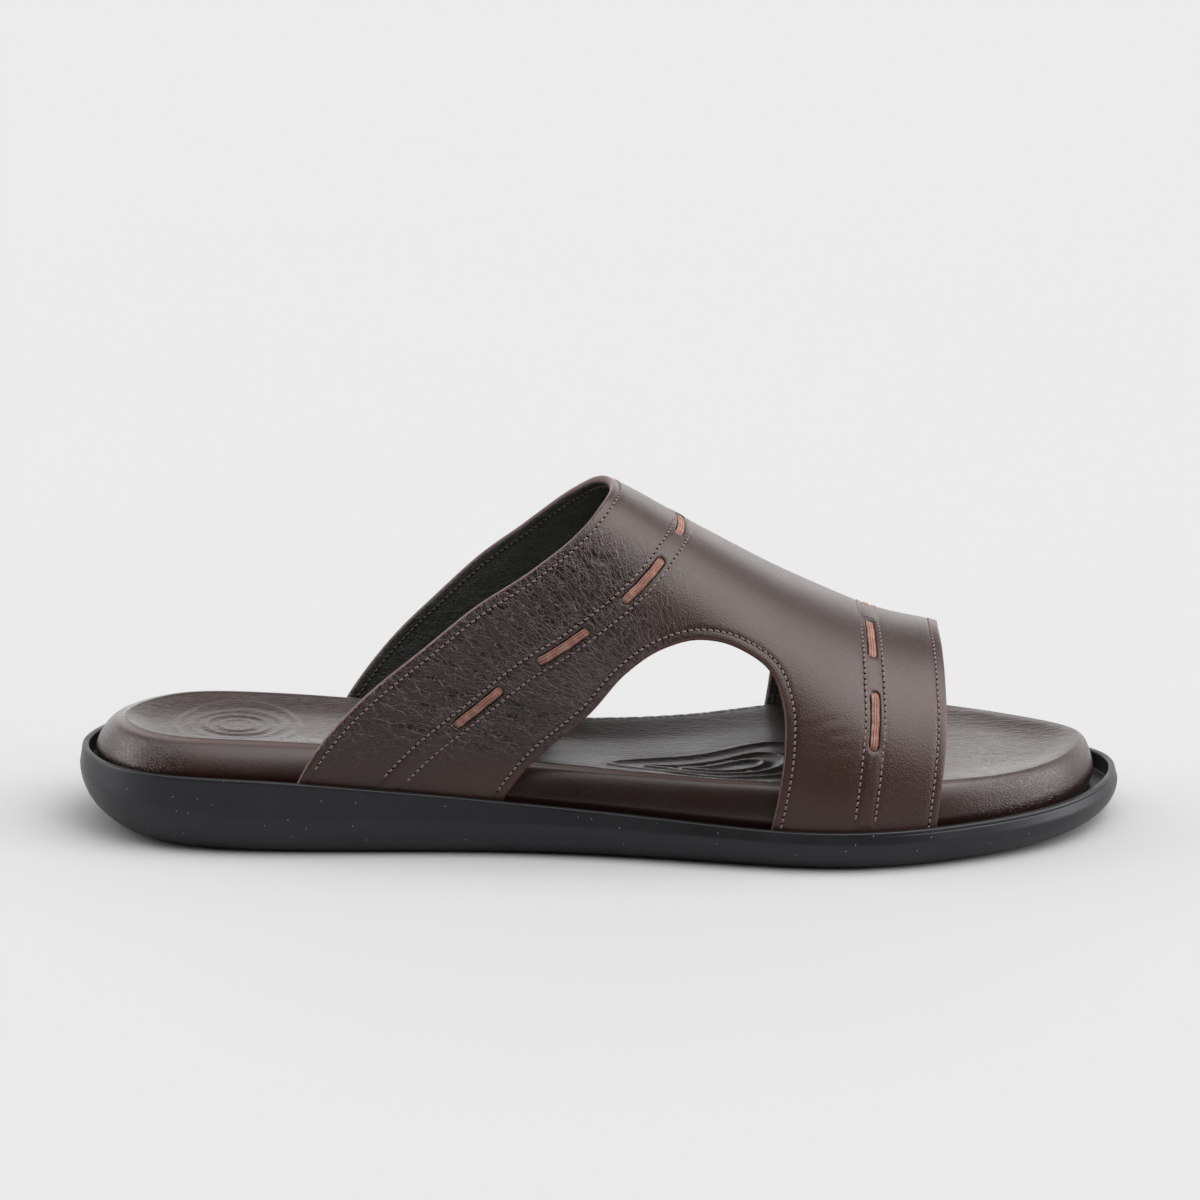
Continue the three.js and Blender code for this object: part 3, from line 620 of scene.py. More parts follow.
def upper_leather(settings):
    finish = Finish("upper leather")
    pebble, edge = finish.field("pebble"), finish.field("edge")
    fan = finish.fan(0.026, 0.036, 28.0, 240.0, 140.0)
    wavy = finish.warped(1.1, 0.85, fan)
    uneven = finish.range(finish.noise(0.9, 2, 0.5, fan), 0.3, 0.65)
    wrinkles = finish.range(finish.cells(1.0, "DISTANCE_TO_EDGE", wavy), 0.0, 0.085, 1.0, 0.0)
    cracks = finish.range(finish.cells(2.0, "DISTANCE_TO_EDGE", wavy), 0.0, 0.12, 1.0, 0.0)
    folds = finish.noise(0.7, 3, 0.55, finish.warped(0.6, 1.1, fan))
    small = finish.range(finish.cells(1300, "DISTANCE_TO_EDGE", finish.warped(700, 0.0007)), 0.0, 0.3)

    body = finish.blend(finish.range(finish.noise(22, 3), 0.35, 0.68), colour(settings.leather),
                        colour(settings.leather_worn))
    body = finish.blend(finish.math("MULTIPLY", pebble, 0.75), body, colour(settings.leather_dark_and_groove_shade))
    strength = finish.math("MULTIPLY_ADD", uneven, 0.45, 0.55)
    lines = finish.math("MULTIPLY_ADD", cracks, 0.45, finish.math("MULTIPLY", wrinkles, strength))
    # painted highlight: a lighter tone laid along the crests of the wrinkles and cracks
    crest_highlights = finish.math("MULTIPLY", lines, pebble)
    body = finish.blend(finish.math("MULTIPLY", crest_highlights, 0.26), body, colour(settings.leather_crest_highlight))
    paint = finish.range(edge, 0.3, 0.55, 1.0, 0.0)
    body = finish.blend(paint, body, colour(settings.edge_paint))
    # painted shade: the seam grooves darkened towards the dark tone
    groove = finish.range(finish.field("seam"), 0.2, 0.7, 0.35, 0.0)
    body = finish.blend(groove, body, colour(settings.leather_dark_and_groove_shade))
    # painted shade: near black in the sunk slots and round their rims
    slot = finish.range(finish.field("slot"), 0.0, 0.4, 0.9, 0.0)
    body = finish.blend(slot, body, hexed("0d0807"))

    # heights in tenths of a millimetre
    height = finish.math("MULTIPLY_ADD", folds, 1.5, finish.math("MULTIPLY", lines, 2.1))
    height = finish.math("ADD", height, finish.math("MULTIPLY", finish.noise(1100, 3, 0.6), 0.4))
    height = finish.math("MULTIPLY", height, pebble)
    height = finish.math("ADD", height, finish.math("MULTIPLY", small, 0.36))
    height = finish.math("ADD", height, finish.math("MULTIPLY", finish.noise(1200, 3, 0.6), 0.5))
    shine = finish.range(finish.noise(60, 4), 0.3, 0.7, 0.36, 0.43)
    shine = finish.math("MULTIPLY_ADD", pebble, -0.1, shine)
    finish.set(Base_Color=body, Roughness=shine, Normal=finish.bump(height, 0.0001))
    finish.surface.inputs["Specular Tint"].default_value = (1.0, 0.89, 0.86, 1.0)
    finish.surface.inputs["Coat Weight"].default_value = 0.25
    finish.surface.inputs["Coat Roughness"].default_value = 0.28
    return finish.material


def lining_leather(settings):
    finish = Finish("upper lining")
    tone = finish.blend(finish.range(finish.noise(45, 4), 0.3, 0.7), colour(settings.lining),
                        tuple(2.4 * c for c in colour(settings.lining)))
    painted = finish.range(finish.field("edge"), 0.2, 0.4, 1.0, 0.0)
    tone = finish.blend(painted, tone, colour(settings.edge_paint))
    grain = finish.range(finish.cells(1000, "DISTANCE_TO_EDGE", finish.warped(600, 0.0009)), 0.0, 0.3)
    height = finish.math("MULTIPLY_ADD", finish.noise(170, 6, 0.72), 14.0, grain)
    finish.set(Base_Color=tone, Roughness=0.42, Normal=finish.bump(height, 0.0001))
    return finish.material


def edge_finish(settings):
    finish = Finish("painted edge")
    tone = finish.blend(finish.range(finish.noise(180, 3), 0.3, 0.7), colour(settings.edge_paint),
                        tuple(0.6 * c for c in colour(settings.edge_paint)))
    finish.set(Base_Color=tone, Roughness=0.42, Normal=finish.bump(finish.noise(700, 3), 0.00012, 0.6))
    return finish.material


def footbed_leather(settings):
    finish = Finish("footbed leather")
    along, seat = finish.field("along"), finish.field("seat")
    # painted shade: the footbed darkened where the upper stands over it, more on the seat than on the wall
    fore = finish.math("MULTIPLY", finish.range(along, -45.0, -10.0),
                       finish.range(along, 60.0, 90.0, 1.0, 0.0))
    body = finish.blend(finish.range(finish.noise(35, 4), 0.3, 0.7), colour(settings.footbed),
                        colour(settings.footbed_worn))
    body = finish.blend(finish.math("MULTIPLY", fore, finish.math("MULTIPLY_ADD", seat, 0.5, 0.4)), body,
                        colour(settings.footbed_shade_under_upper))
    # painted highlight: a pale line along the seat's ridge, left out towards the toe
    ridge_highlight = finish.range(finish.field("ridge"), 0.1, 0.5, 0.22, 0.0)
    ridge_highlight = finish.math("MULTIPLY", ridge_highlight, finish.range(along, 85.0, 108.0, 1.0, 0.0))
    body = finish.blend(ridge_highlight, body, colour(settings.footbed_ridge_highlight))

    # heights in tenths of a millimetre
    flat = finish.stretched((0.3, 1.5, 0.0))
    net = finish.cells(620, "DISTANCE_TO_EDGE", finish.warped(300, 0.0016, flat))
    wrinkles = finish.range(net, 0.0, 0.22)
    waves = finish.noise(60, 5, 0.62, finish.stretched((0.4, 3.4, 0.0)))
    grain = finish.range(finish.cells(1700, "DISTANCE_TO_EDGE", finish.warped(900, 0.0006)), 0.0, 0.35)
    upright = finish.noise(420, 4, 0.6, finish.stretched((1.5, 1.5, 0.5)))
    on_seat = finish.math("MULTIPLY_ADD", wrinkles, 0.7, finish.math("MULTIPLY", grain, 0.25))
    on_seat = finish.math("MULTIPLY_ADD", waves, 3.2, on_seat)
    ends = finish.range(finish.math("ABSOLUTE", finish.math("ADD", along, 6.0)), 96.0, 122.0, 0.3, 1.5)
    on_wall = finish.math("MULTIPLY", finish.math("MULTIPLY_ADD", grain, 0.5, upright), ends)
    height = finish.math("MULTIPLY", seat, on_seat)
    height = finish.math("MULTIPLY_ADD", finish.math("SUBTRACT", 1.0, seat), on_wall, height)
    height = finish.math("ADD", height, finish.math("MULTIPLY", finish.noise(1500, 3, 0.6), 0.28))
    shine = finish.range(finish.noise(50, 4), 0.3, 0.7, 0.27, 0.36)
    shine = finish.math("MULTIPLY_ADD", finish.math("MULTIPLY", fore, seat), 0.17, shine)
    finish.set(Base_Color=body, Roughness=shine, Normal=finish.bump(height, 0.0001))
    finish.surface.inputs["Specular Tint"].default_value = (1.0, 0.92, 0.89, 1.0)
    finish.surface.inputs["Coat Weight"].default_value = 0.3
    finish.surface.inputs["Coat Roughness"].default_value = 0.27
    return finish.material


def sole_rubber(settings):
    finish = Finish("moulded rubber")
    tone = finish.blend(finish.range(finish.noise(70, 4), 0.35, 0.7), colour(settings.rubber),
                        tuple(1.4 * c for c in colour(settings.rubber)))
    specks = finish.range(finish.cells(310, "F1"), 0.035, 0.065, 0.7, 0.0)
    tone = finish.blend(specks, tone, hexed("9a9ca4"))
    height = finish.math("MULTIPLY_ADD", finish.noise(1400, 3, 0.6), 0.5, finish.noise(160, 3))
    finish.set(Base_Color=tone, Roughness=finish.range(finish.noise(90, 4), 0.3, 0.7, 0.36, 0.46),
               Normal=finish.bump(height, 0.00012, 0.5))
    finish.surface.inputs["Specular Tint"].default_value = (0.93, 0.93, 1.0, 1.0)
    return finish.material


def lace_leather(settings):
    finish = Finish("lace")
    across = finish.field("across")
    ribs = finish.math("SINE", finish.math("MULTIPLY", across, 8.5))
    ribs = finish.math("ADD", ribs, finish.math("MULTIPLY", finish.noise(1400, 4, 0.6), 1.6))
    tone = finish.blend(finish.range(ribs, -0.4, 1.9), tuple(0.45 * c for c in colour(settings.lace)),
                        colour(settings.lace))
    light = finish.range(finish.noise(500, 3), 0.4, 0.75, 0.0, 0.5)
    tone = finish.blend(light, tone, colour(settings.lace_light))
    finish.set(Base_Color=tone, Roughness=0.66, Normal=finish.bump(ribs, 0.00009))
    return finish.material


def thread_finish(name, shade):
    finish = Finish(name)
    twist = finish.noise(3000, 2, at=finish.stretched((1, 1, 1), (0.4, 0.7, 0.2)))
    tone = finish.blend(finish.range(twist, 0.3, 0.7), shade, tuple(0.55 * c for c in shade))
    finish.set(Base_Color=tone, Roughness=0.6, Sheen_Weight=0.15)
    return finish.material


# painted shade: the near black finish of the discs that stand in for the needle holes
def hole_shade_finish():
    finish = Finish("needle hole")
    tone = finish.blend(finish.noise(900, 2), hexed("080505"), hexed("150d0c"))
    finish.set(Base_Color=tone, Roughness=0.85, Specular_IOR_Level=0.0)
    return finish.material


# ---- The upper ----

CORNER = 0.6  # rounding of the upper's cut edges
SLOT_HALF, SLOT_REACH = 1.42, 8.6  # half width and half length of the slots in the leather
LACE_REACH = 8.45  # half length of a lace that shows in a slot
SEAM_DEPTH = 0.2  # how far the thread pulls the leather in
EDGE_SINK = 0.12  # how far the leather thins toward its edges
LINING_CORNER = 0.65  # rounding of the lining at the edges


class UpperPlan:
    """The upper laid out flat: its closed border, the region's plane and its places on the last."""

    def __init__(self, spacing):
        foot_x = [COLLAR_LINE[0, 0], COLLAR_LINE[-1, 0]]
        outer, inner = CUTOUTS["outer"], CUTOUTS["inner"]
        quarter = math.pi / 2

        def foot(start, end, sign):
            count = max(2, round(abs(end - start) / 1.6))
            x = np.linspace(start, end, count + 1)[1:-1]
            return np.column_stack([x, np.full(len(x), sign * quarter)])

        self.free = [evenly(line, spacing) for line in (COLLAR_LINE, inner, TOE_LINE[::-1], outer[::-1])]
        gaps = [foot(foot_x[1], inner[0, 0], 1), foot(inner[-1, 0], TOE_LINE[-1, 0], 1),
                foot(TOE_LINE[0, 0], outer[-1, 0], -1), foot(outer[0, 0], foot_x[0], -1)]
        parts = [part for pair in zip(self.free, gaps) for part in pair]
        self.border = np.concatenate(parts)
        self.is_free = np.concatenate([np.full(len(p), k % 2 == 0) for k, p in enumerate(parts)])
        self.inward = np.zeros((len(self.border), 3))
        self.inward[self.is_free] = np.concatenate([inward_of(line) for line in self.free])
        self.xs = np.arange(-92.0, 101.0, 0.5)
        self.turns = np.radians(np.arange(-96.0, 96.01, 0.5))
        grid = last_point(self.xs[:, None] + 0 * self.turns, 0 * self.xs[:, None] + self.turns)
        steps = np.linalg.norm(np.diff(grid, axis=1), axis=2)
        girth = np.concatenate([np.zeros((len(self.xs), 1)), np.cumsum(steps, axis=1)], axis=1)
        self.girth = girth - girth[:, [len(self.turns) // 2]]

    def flat(self, place):
        """Place on the last to the flat plan: along the shoe, and girth from the crown."""
        fx = np.clip((place[:, 0] - self.xs[0]) / 0.5, 0, len(self.xs) - 1.001)
        ft = np.clip((place[:, 1] - self.turns[0]) / math.radians(0.5), 0, len(self.turns) - 1.001)
        i, j = fx.astype(int), ft.astype(int)
        a, b = fx - i, ft - j
        g = self.girth
        across = ((1 - a) * (1 - b) * g[i, j] + a * (1 - b) * g[i + 1, j]
                  + (1 - a) * b * g[i, j + 1] + a * b * g[i + 1, j + 1])
        return np.column_stack([place[:, 0], across])

    def place(self, flat):
        """Back from the flat plan to a place on the last."""
        turn = np.empty(len(flat))
        fx = (flat[:, 0] - self.xs[0]) / 0.5
        order = np.argsort(flat[:, 0], kind="stable")
        starts = np.flatnonzero(np.diff(flat[order, 0], prepend=-1e9))
        for a, b in zip(starts, list(starts[1:]) + [len(flat)]):
            ids = order[a:b]
            i = min(int(fx[ids[0]]), len(self.xs) - 2)
            t = fx[ids[0]] - i
            turn[ids] = np.interp(flat[ids, 1], (1 - t) * self.girth[i] + t * self.girth[i + 1], self.turns)
        return np.column_stack([flat[:, 0], turn])

    def rows_in(self, distances):
        """Rows of places at distances in from the free edges, kept where the upper still is."""
        found = []
        for line in self.free:
            inward = inward_of(line)
            for distance in distances:
                row = walk(line, inward, distance)
                found.append(row[np.abs(row[:, 1]) < math.radians(89.6)])
        return found

    def edge_distance(self, points):
        best = np.full(len(points), np.inf)
        for line in self.free:
            best = np.minimum(best, distance_to(on_last(line), points)[0])
        return best


def corner(distance, radius):
    """Height of a rounded edge of this radius, at a distance in from the edge."""
    return np.sqrt(np.maximum(radius ** 2 - np.maximum(radius - distance, 0) ** 2, 0))


def slot_distance(along, across, row):
    """Distance out of the nearest slot's outline, less than nothing inside it."""
    best = np.full(len(along), np.inf)
    for middle in row.middles:
        over = np.maximum(np.abs(along - middle) - (SLOT_REACH - SLOT_HALF), 0)
        best = np.minimum(best, np.hypot(over, across) - SLOT_HALF)
    return best


def slot_points(row, offsets):
    """Places round each slot of a row, at distances out of its outline."""
    found = []
    for middle in row.middles:
        for offset in offsets:
            radius, straight = SLOT_HALF + offset, SLOT_REACH - SLOT_HALF
            bow = np.radians(np.linspace(-90, 90, 13)[:, None])
            cap = np.column_stack([straight + radius * np.cos(bow), radius * np.sin(bow)])
            run = np.linspace(-straight, straight, 24)[1:-1]
            loop = np.concatenate([cap, -cap, np.column_stack([run, 0 * run + radius]),
                                   np.column_stack([run, 0 * run - radius])])
            found.append(row.place(middle + loop[:, 0], loop[:, 1]))
        run = np.linspace(-SLOT_REACH + 1.6, SLOT_REACH - 1.6, 12)
        found.append(row.place(middle + run, 0 * run))
    return np.concatenate(found)


def crease_lines():
    """Creases on both sides of the foot, as points on the last with their depth and half width."""
    lines = []
    for points, depth, width in CREASES:
        for sign, shift, share in ((-1, 0.0, 1.0), (1, 3.0, 0.75)):
            line = smooth_line([(x + shift, sign * math.radians(angle) * GIRTH) for x, angle in points], 12)
            turn = turn_of(line[:, 0], np.degrees(line[:, 1] / GIRTH))
            lines.append((last_point(line[:, 0], turn), depth * share, width))
    return lines


def crease_relief(points, strength):
    relief = np.zeros(len(points))
    for line, depth, width in crease_lines():
        low, high = line.min(axis=0) - 6, line.max(axis=0) + 6
        near = np.flatnonzero(np.all((points > low) & (points < high), axis=1))
        if len(near):
            away, share = distance_to(line, points[near])
            fade = ease(share, 0.0, 0.3) * ease(1 - share, 0.0, 0.3)
            shape = -bell(away, width) + 0.45 * bell(away - 2.0 * width, 0.9 * width)
            margin = ease(4.5 * width - away, 0, width)
            relief[near] += depth * strength * shape * (0.25 + 0.75 * fade) * margin
    return relief


class SandalUpper(bpy.types.PropertyGroup):
    leather: FloatVectorProperty(name="Leather", description="Main colour of the upper's leather",
                                 subtype="COLOR", min=0, max=1, default=hexed("23110c"))
    leather_worn: FloatVectorProperty(name="Worn leather", description="Lighter tone of the leather",
                                      subtype="COLOR", min=0, max=1, default=hexed("2d1710"))
    # darker tone of the pebbled strap, and the colour of the painted shade in the seam grooves
    leather_dark_and_groove_shade: FloatVectorProperty(name="Deep leather", description="Darker tone of the pebbled leather, and painted shade in the seam grooves",
                                      subtype="COLOR", min=0, max=1, default=hexed("0a0504"))
    # colour of the painted highlight on the wrinkle crests
    leather_crest_highlight: FloatVectorProperty(name="Crests", description="Painted highlight on the crests of the wrinkles",
                                       subtype="COLOR", min=0, max=1, default=hexed("5d4a46"))
    edge_paint: FloatVectorProperty(name="Edge paint", description="Colour of the painted cut edges",
                                    subtype="COLOR", min=0, max=1, default=hexed("4a2620"))
    lining: FloatVectorProperty(name="Lining", description="Colour of the upper's lining",
                                subtype="COLOR", min=0, max=1, default=hexed("1d1f1a"))
    crease: FloatProperty(name="Creases", description="Strength of the creases over the instep",
                          min=0, max=3, default=1.0, subtype="FACTOR")
    puff: FloatProperty(name="Lace channel",
                        description="How far the leather stands up between the lace seams",
                        min=0, max=0.001, default=0.00022, precision=5, unit="LENGTH")
    fineness: FloatProperty(name="Mesh spacing", description="Distance between points of the outer face",
                            min=0.0006, max=0.004, default=0.00088, precision=5, unit="LENGTH")


class SandalStitching(bpy.types.PropertyGroup):
    pitch: FloatProperty(name="Stitch pitch", description="Distance from stitch to stitch",
                         min=0.001, max=0.006, default=0.0018, precision=4, unit="LENGTH")
    length: FloatProperty(name="Stitch length", description="Length of thread that shows in a stitch",
                          min=0.0005, max=0.005, default=0.00125, precision=5, unit="LENGTH")
    thickness: FloatProperty(name="Thread", description="Thickness of the sewing thread",
                             min=0.0001, max=0.002, default=0.00056, precision=5, unit="LENGTH")
    hole: FloatProperty(name="Needle hole", description="Radius of a needle hole",
                        min=0.0001, max=0.001, default=0.00036, precision=5, unit="LENGTH")
    inset: FloatProperty(name="Edge margin", description="Distance from an edge to its row of stitches",
                         min=0.001, max=0.008, default=0.0026, precision=4, unit="LENGTH")
    lace_margin: FloatProperty(name="Lace margin",
                               description="Distance from the middle of the laces to a seam",
                               min=0.002, max=0.008, default=0.0027, precision=4, unit="LENGTH")
    seed: IntProperty(name="Seed", description="Which small unevenness the stitches have", min=0, default=4)
    thread: FloatVectorProperty(name="Thread colour", description="Colour of the sewing thread",
                                subtype="COLOR", min=0, max=1, default=hexed("7c625c"))


class SandalLaces(bpy.types.PropertyGroup):
    width: FloatProperty(name="Lace width", description="Width of the flat lace",
                         min=0.001, max=0.0029, default=0.0023, precision=4, unit="LENGTH")
    proud: FloatProperty(name="Lace height", description="How far the lace stands above the leather",
                         min=0, max=0.001, default=0.00012, precision=5, unit="LENGTH")
    lace: FloatVectorProperty(name="Lace colour", description="Main colour of the laces",
                              subtype="COLOR", min=0, max=1, default=hexed("8f5e4e"))
    lace_light: FloatVectorProperty(name="Lace highlight", description="Lighter fibres of the laces",
                                    subtype="COLOR", min=0, max=1, default=hexed("b38e80"))


class SandalSole(bpy.types.PropertyGroup):
    rubber: FloatVectorProperty(name="Rubber", description="Colour of the outsole",
                                subtype="COLOR", min=0, max=1, default=hexed("0d0e0d"))
    tread_pitch: FloatProperty(name="Tread pitch", description="Distance from rib to rib under the sole",
                               min=0.003, max=0.012, default=0.0055, precision=4, unit="LENGTH")
    tread_depth: FloatProperty(name="Tread depth", description="Depth of the grooves under the sole",
                               min=0, max=0.002, default=0.0008, precision=5, unit="LENGTH")


class SandalFootbed(bpy.types.PropertyGroup):
    footbed: FloatVectorProperty(name="Footbed leather", description="Main colour of the footbed",
                                 subtype="COLOR", min=0, max=1, default=hexed("200f0b"))
    footbed_worn: FloatVectorProperty(name="Worn footbed", description="Lighter tone of the footbed",
                                      subtype="COLOR", min=0, max=1, default=hexed("271410"))
    # colour of the painted shade on the footbed under the upper
    footbed_shade_under_upper: FloatVectorProperty(name="Forefoot", description="Painted shade on the seat under the upper",
                                      subtype="COLOR", min=0, max=1, default=hexed("12120f"))
    # colour of the painted highlight along the seat's ridge
    footbed_ridge_highlight: FloatVectorProperty(name="Ridge highlight", description="Painted highlight along the ridge",
                                        subtype="COLOR", min=0, max=1, default=hexed("8f7b75"))
    ring_height: FloatProperty(name="Ring height", description="Height of the rings pressed into the heel",
                               min=0, max=0.002, default=0.00032, precision=5, unit="LENGTH")
    drop_height: FloatProperty(name="Drop height", description="Height of the raised lines of the forefoot",
                               min=0, max=0.002, default=0.0007, precision=5, unit="LENGTH")


class SANDAL_OT_upper(bpy.types.Operator):
    """Builds the leather upper with its lining and painted edges"""
    bl_idname = "sandal.upper"
    bl_label = "Upper"

    def execute(self, context):
        settings, sewing = context.scene.sandal_upper, context.scene.sandal_stitching
        plan = UpperPlan(1.0)
        border = len(plan.border)
        margin, lace_margin = sewing.inset / MM, sewing.lace_margin / MM

        # outer face
        beside = (margin - 0.35, margin, margin + 0.35, margin + 1.1)
        rows = plan.rows_in((0.094, 0.35, CORNER, 1.15, 1.8) + beside)
        slots = [slot_points(row, (-0.4, -0.12, 0.0, 0.15, 0.45)) for row in (INSTEP_ROW, TOE_ROW)]
        placed = np.concatenate([plan.border, *rows, *slots])
        flat = plan.flat(placed)
        spread = lattice(flat[:border], settings.fineness / MM, flat, 0.6 * settings.fineness / MM)
        place = np.concatenate([placed, plan.place(spread)])
        face = triangulate(np.concatenate([flat, spread]), border)
        points, out = on_last(place), out_of(place)
        edge = plan.edge_distance(points)
        seam = np.abs(edge - margin)
        slot = np.full(len(points), 9.0)
        relief = corner(edge, CORNER) - CORNER
        relief -= EDGE_SINK * bell(edge, 2.2) + SEAM_DEPTH * bell(seam, 0.5)
        for row in (INSTEP_ROW, TOE_ROW):
            along, across = row.read(points)
            inside = (along > row.at[0] - 1) & (along < row.at[-1] + 1)
            lace_seam = np.where(inside, np.abs(np.abs(across) - lace_margin), 9.0)
            seam = np.minimum(seam, lace_seam)
            relief -= SEAM_DEPTH * bell(lace_seam, 0.45)
            relief += settings.puff / MM * ease(lace_margin - np.abs(across), 0.1, 1.2) * inside
            slot = np.minimum(slot, slot_distance(along, across, row))
        relief -= 0.3 * ease(-slot, -0.45, 0.0) + 0.9 * ease(-slot, 0.0, 0.12)
        calm = ease(edge, 1.0, 5.0) * ease(slot, 0.5, 3.0)
        relief += crease_relief(points, settings.crease) * calm
        x, y, z = points.T
        soft = np.sin(x / 9.1 + 0.05 * y + 1) * np.sin(z / 7.3 + y / 15)
        soft = soft + np.sin(x / 17 - z / 11 + 2) * np.cos(y / 9)
        relief += 0.13 * soft * ease(edge, 2, 12)
        pebble = ease(-x, -34, 8) * ease(z, 20, 36) * (1 - 0.85 * ease(z + 0.35 * x, 84, 94))
        outer = points + out * relief[:, None]

        # lining
        inner_rows = plan.rows_in((0.2, 0.65, 1.6, margin, margin + 0.8))
        lining_place = np.concatenate([plan.border, *inner_rows])
        lining_flat = plan.flat(lining_place)
        spread = lattice(lining_flat[:border], 1.9, lining_flat, 1.2)
        lining_place = np.concatenate([lining_place, plan.place(spread)])
        lining_face = triangulate(np.concatenate([lining_flat, spread]), border)
        lining_points, lining_out = on_last(lining_place), out_of(lining_place)
        lining_edge = plan.edge_distance(lining_points)
        sink = LINING_CORNER - UPPER_WALL - corner(lining_edge, LINING_CORNER)
        sink += 0.15 * bell(lining_edge - margin, 0.6)
        inner = lining_points + lining_out * sink[:, None]

        # painted edge between them, standing out a little
        middle = points[:border] + out[:border] * -1.2 - plan.inward * 0.12
        verts = np.concatenate([outer, inner, middle])
        shift, last = len(outer), len(outer) + len(inner)
        i = np.arange(border)
        j = (i + 1) % border
        rims = [(i, j, j + last), (i, j + last, i + last),
                (i + last, j + last, j + shift), (i + last, j + shift, i + shift)]
        rim = np.concatenate([np.column_stack(r) for r in rims])
        faces = np.concatenate([face, lining_face[:, ::-1] + shift, rim])
        index = np.concatenate([np.zeros(len(face)), np.ones(len(lining_face)), np.full(len(rim), 2)])
        if volume_of(verts, faces) < 0:
            faces = faces[:, ::-1]
        pad = np.zeros(border)
        fields = {
            "edge": np.concatenate([edge, lining_edge, pad]),
            "seam": np.concatenate([seam, np.abs(lining_edge - margin), pad + 9]),
            "slot": np.concatenate([slot, 0 * lining_edge + 9, pad + 9]),
            "pebble": np.concatenate([pebble, 0 * lining_edge, pad]),
        }
        materials = [upper_leather(settings), lining_leather(settings), edge_finish(settings)]
        upper = make_mesh("leather_upper", verts, faces, materials, index, fields)
        finish_piece(upper, "upper", "upper")
        return {"FINISHED"}


# ---- Stitches ----

THREAD_SLANT, HOLE_SLANT, STITCH_SWAY = -0.16, 0.3, 0.09  # turned off the row, in radians
HOLE_OVAL = (1.45, 0.85, 1.0)  # stretched along the row
HOLE_DISC = 0.00018  # height of the disc of a hole, in metres
LINING_THREAD = 0.35  # share of the thread's tone that its lining side has


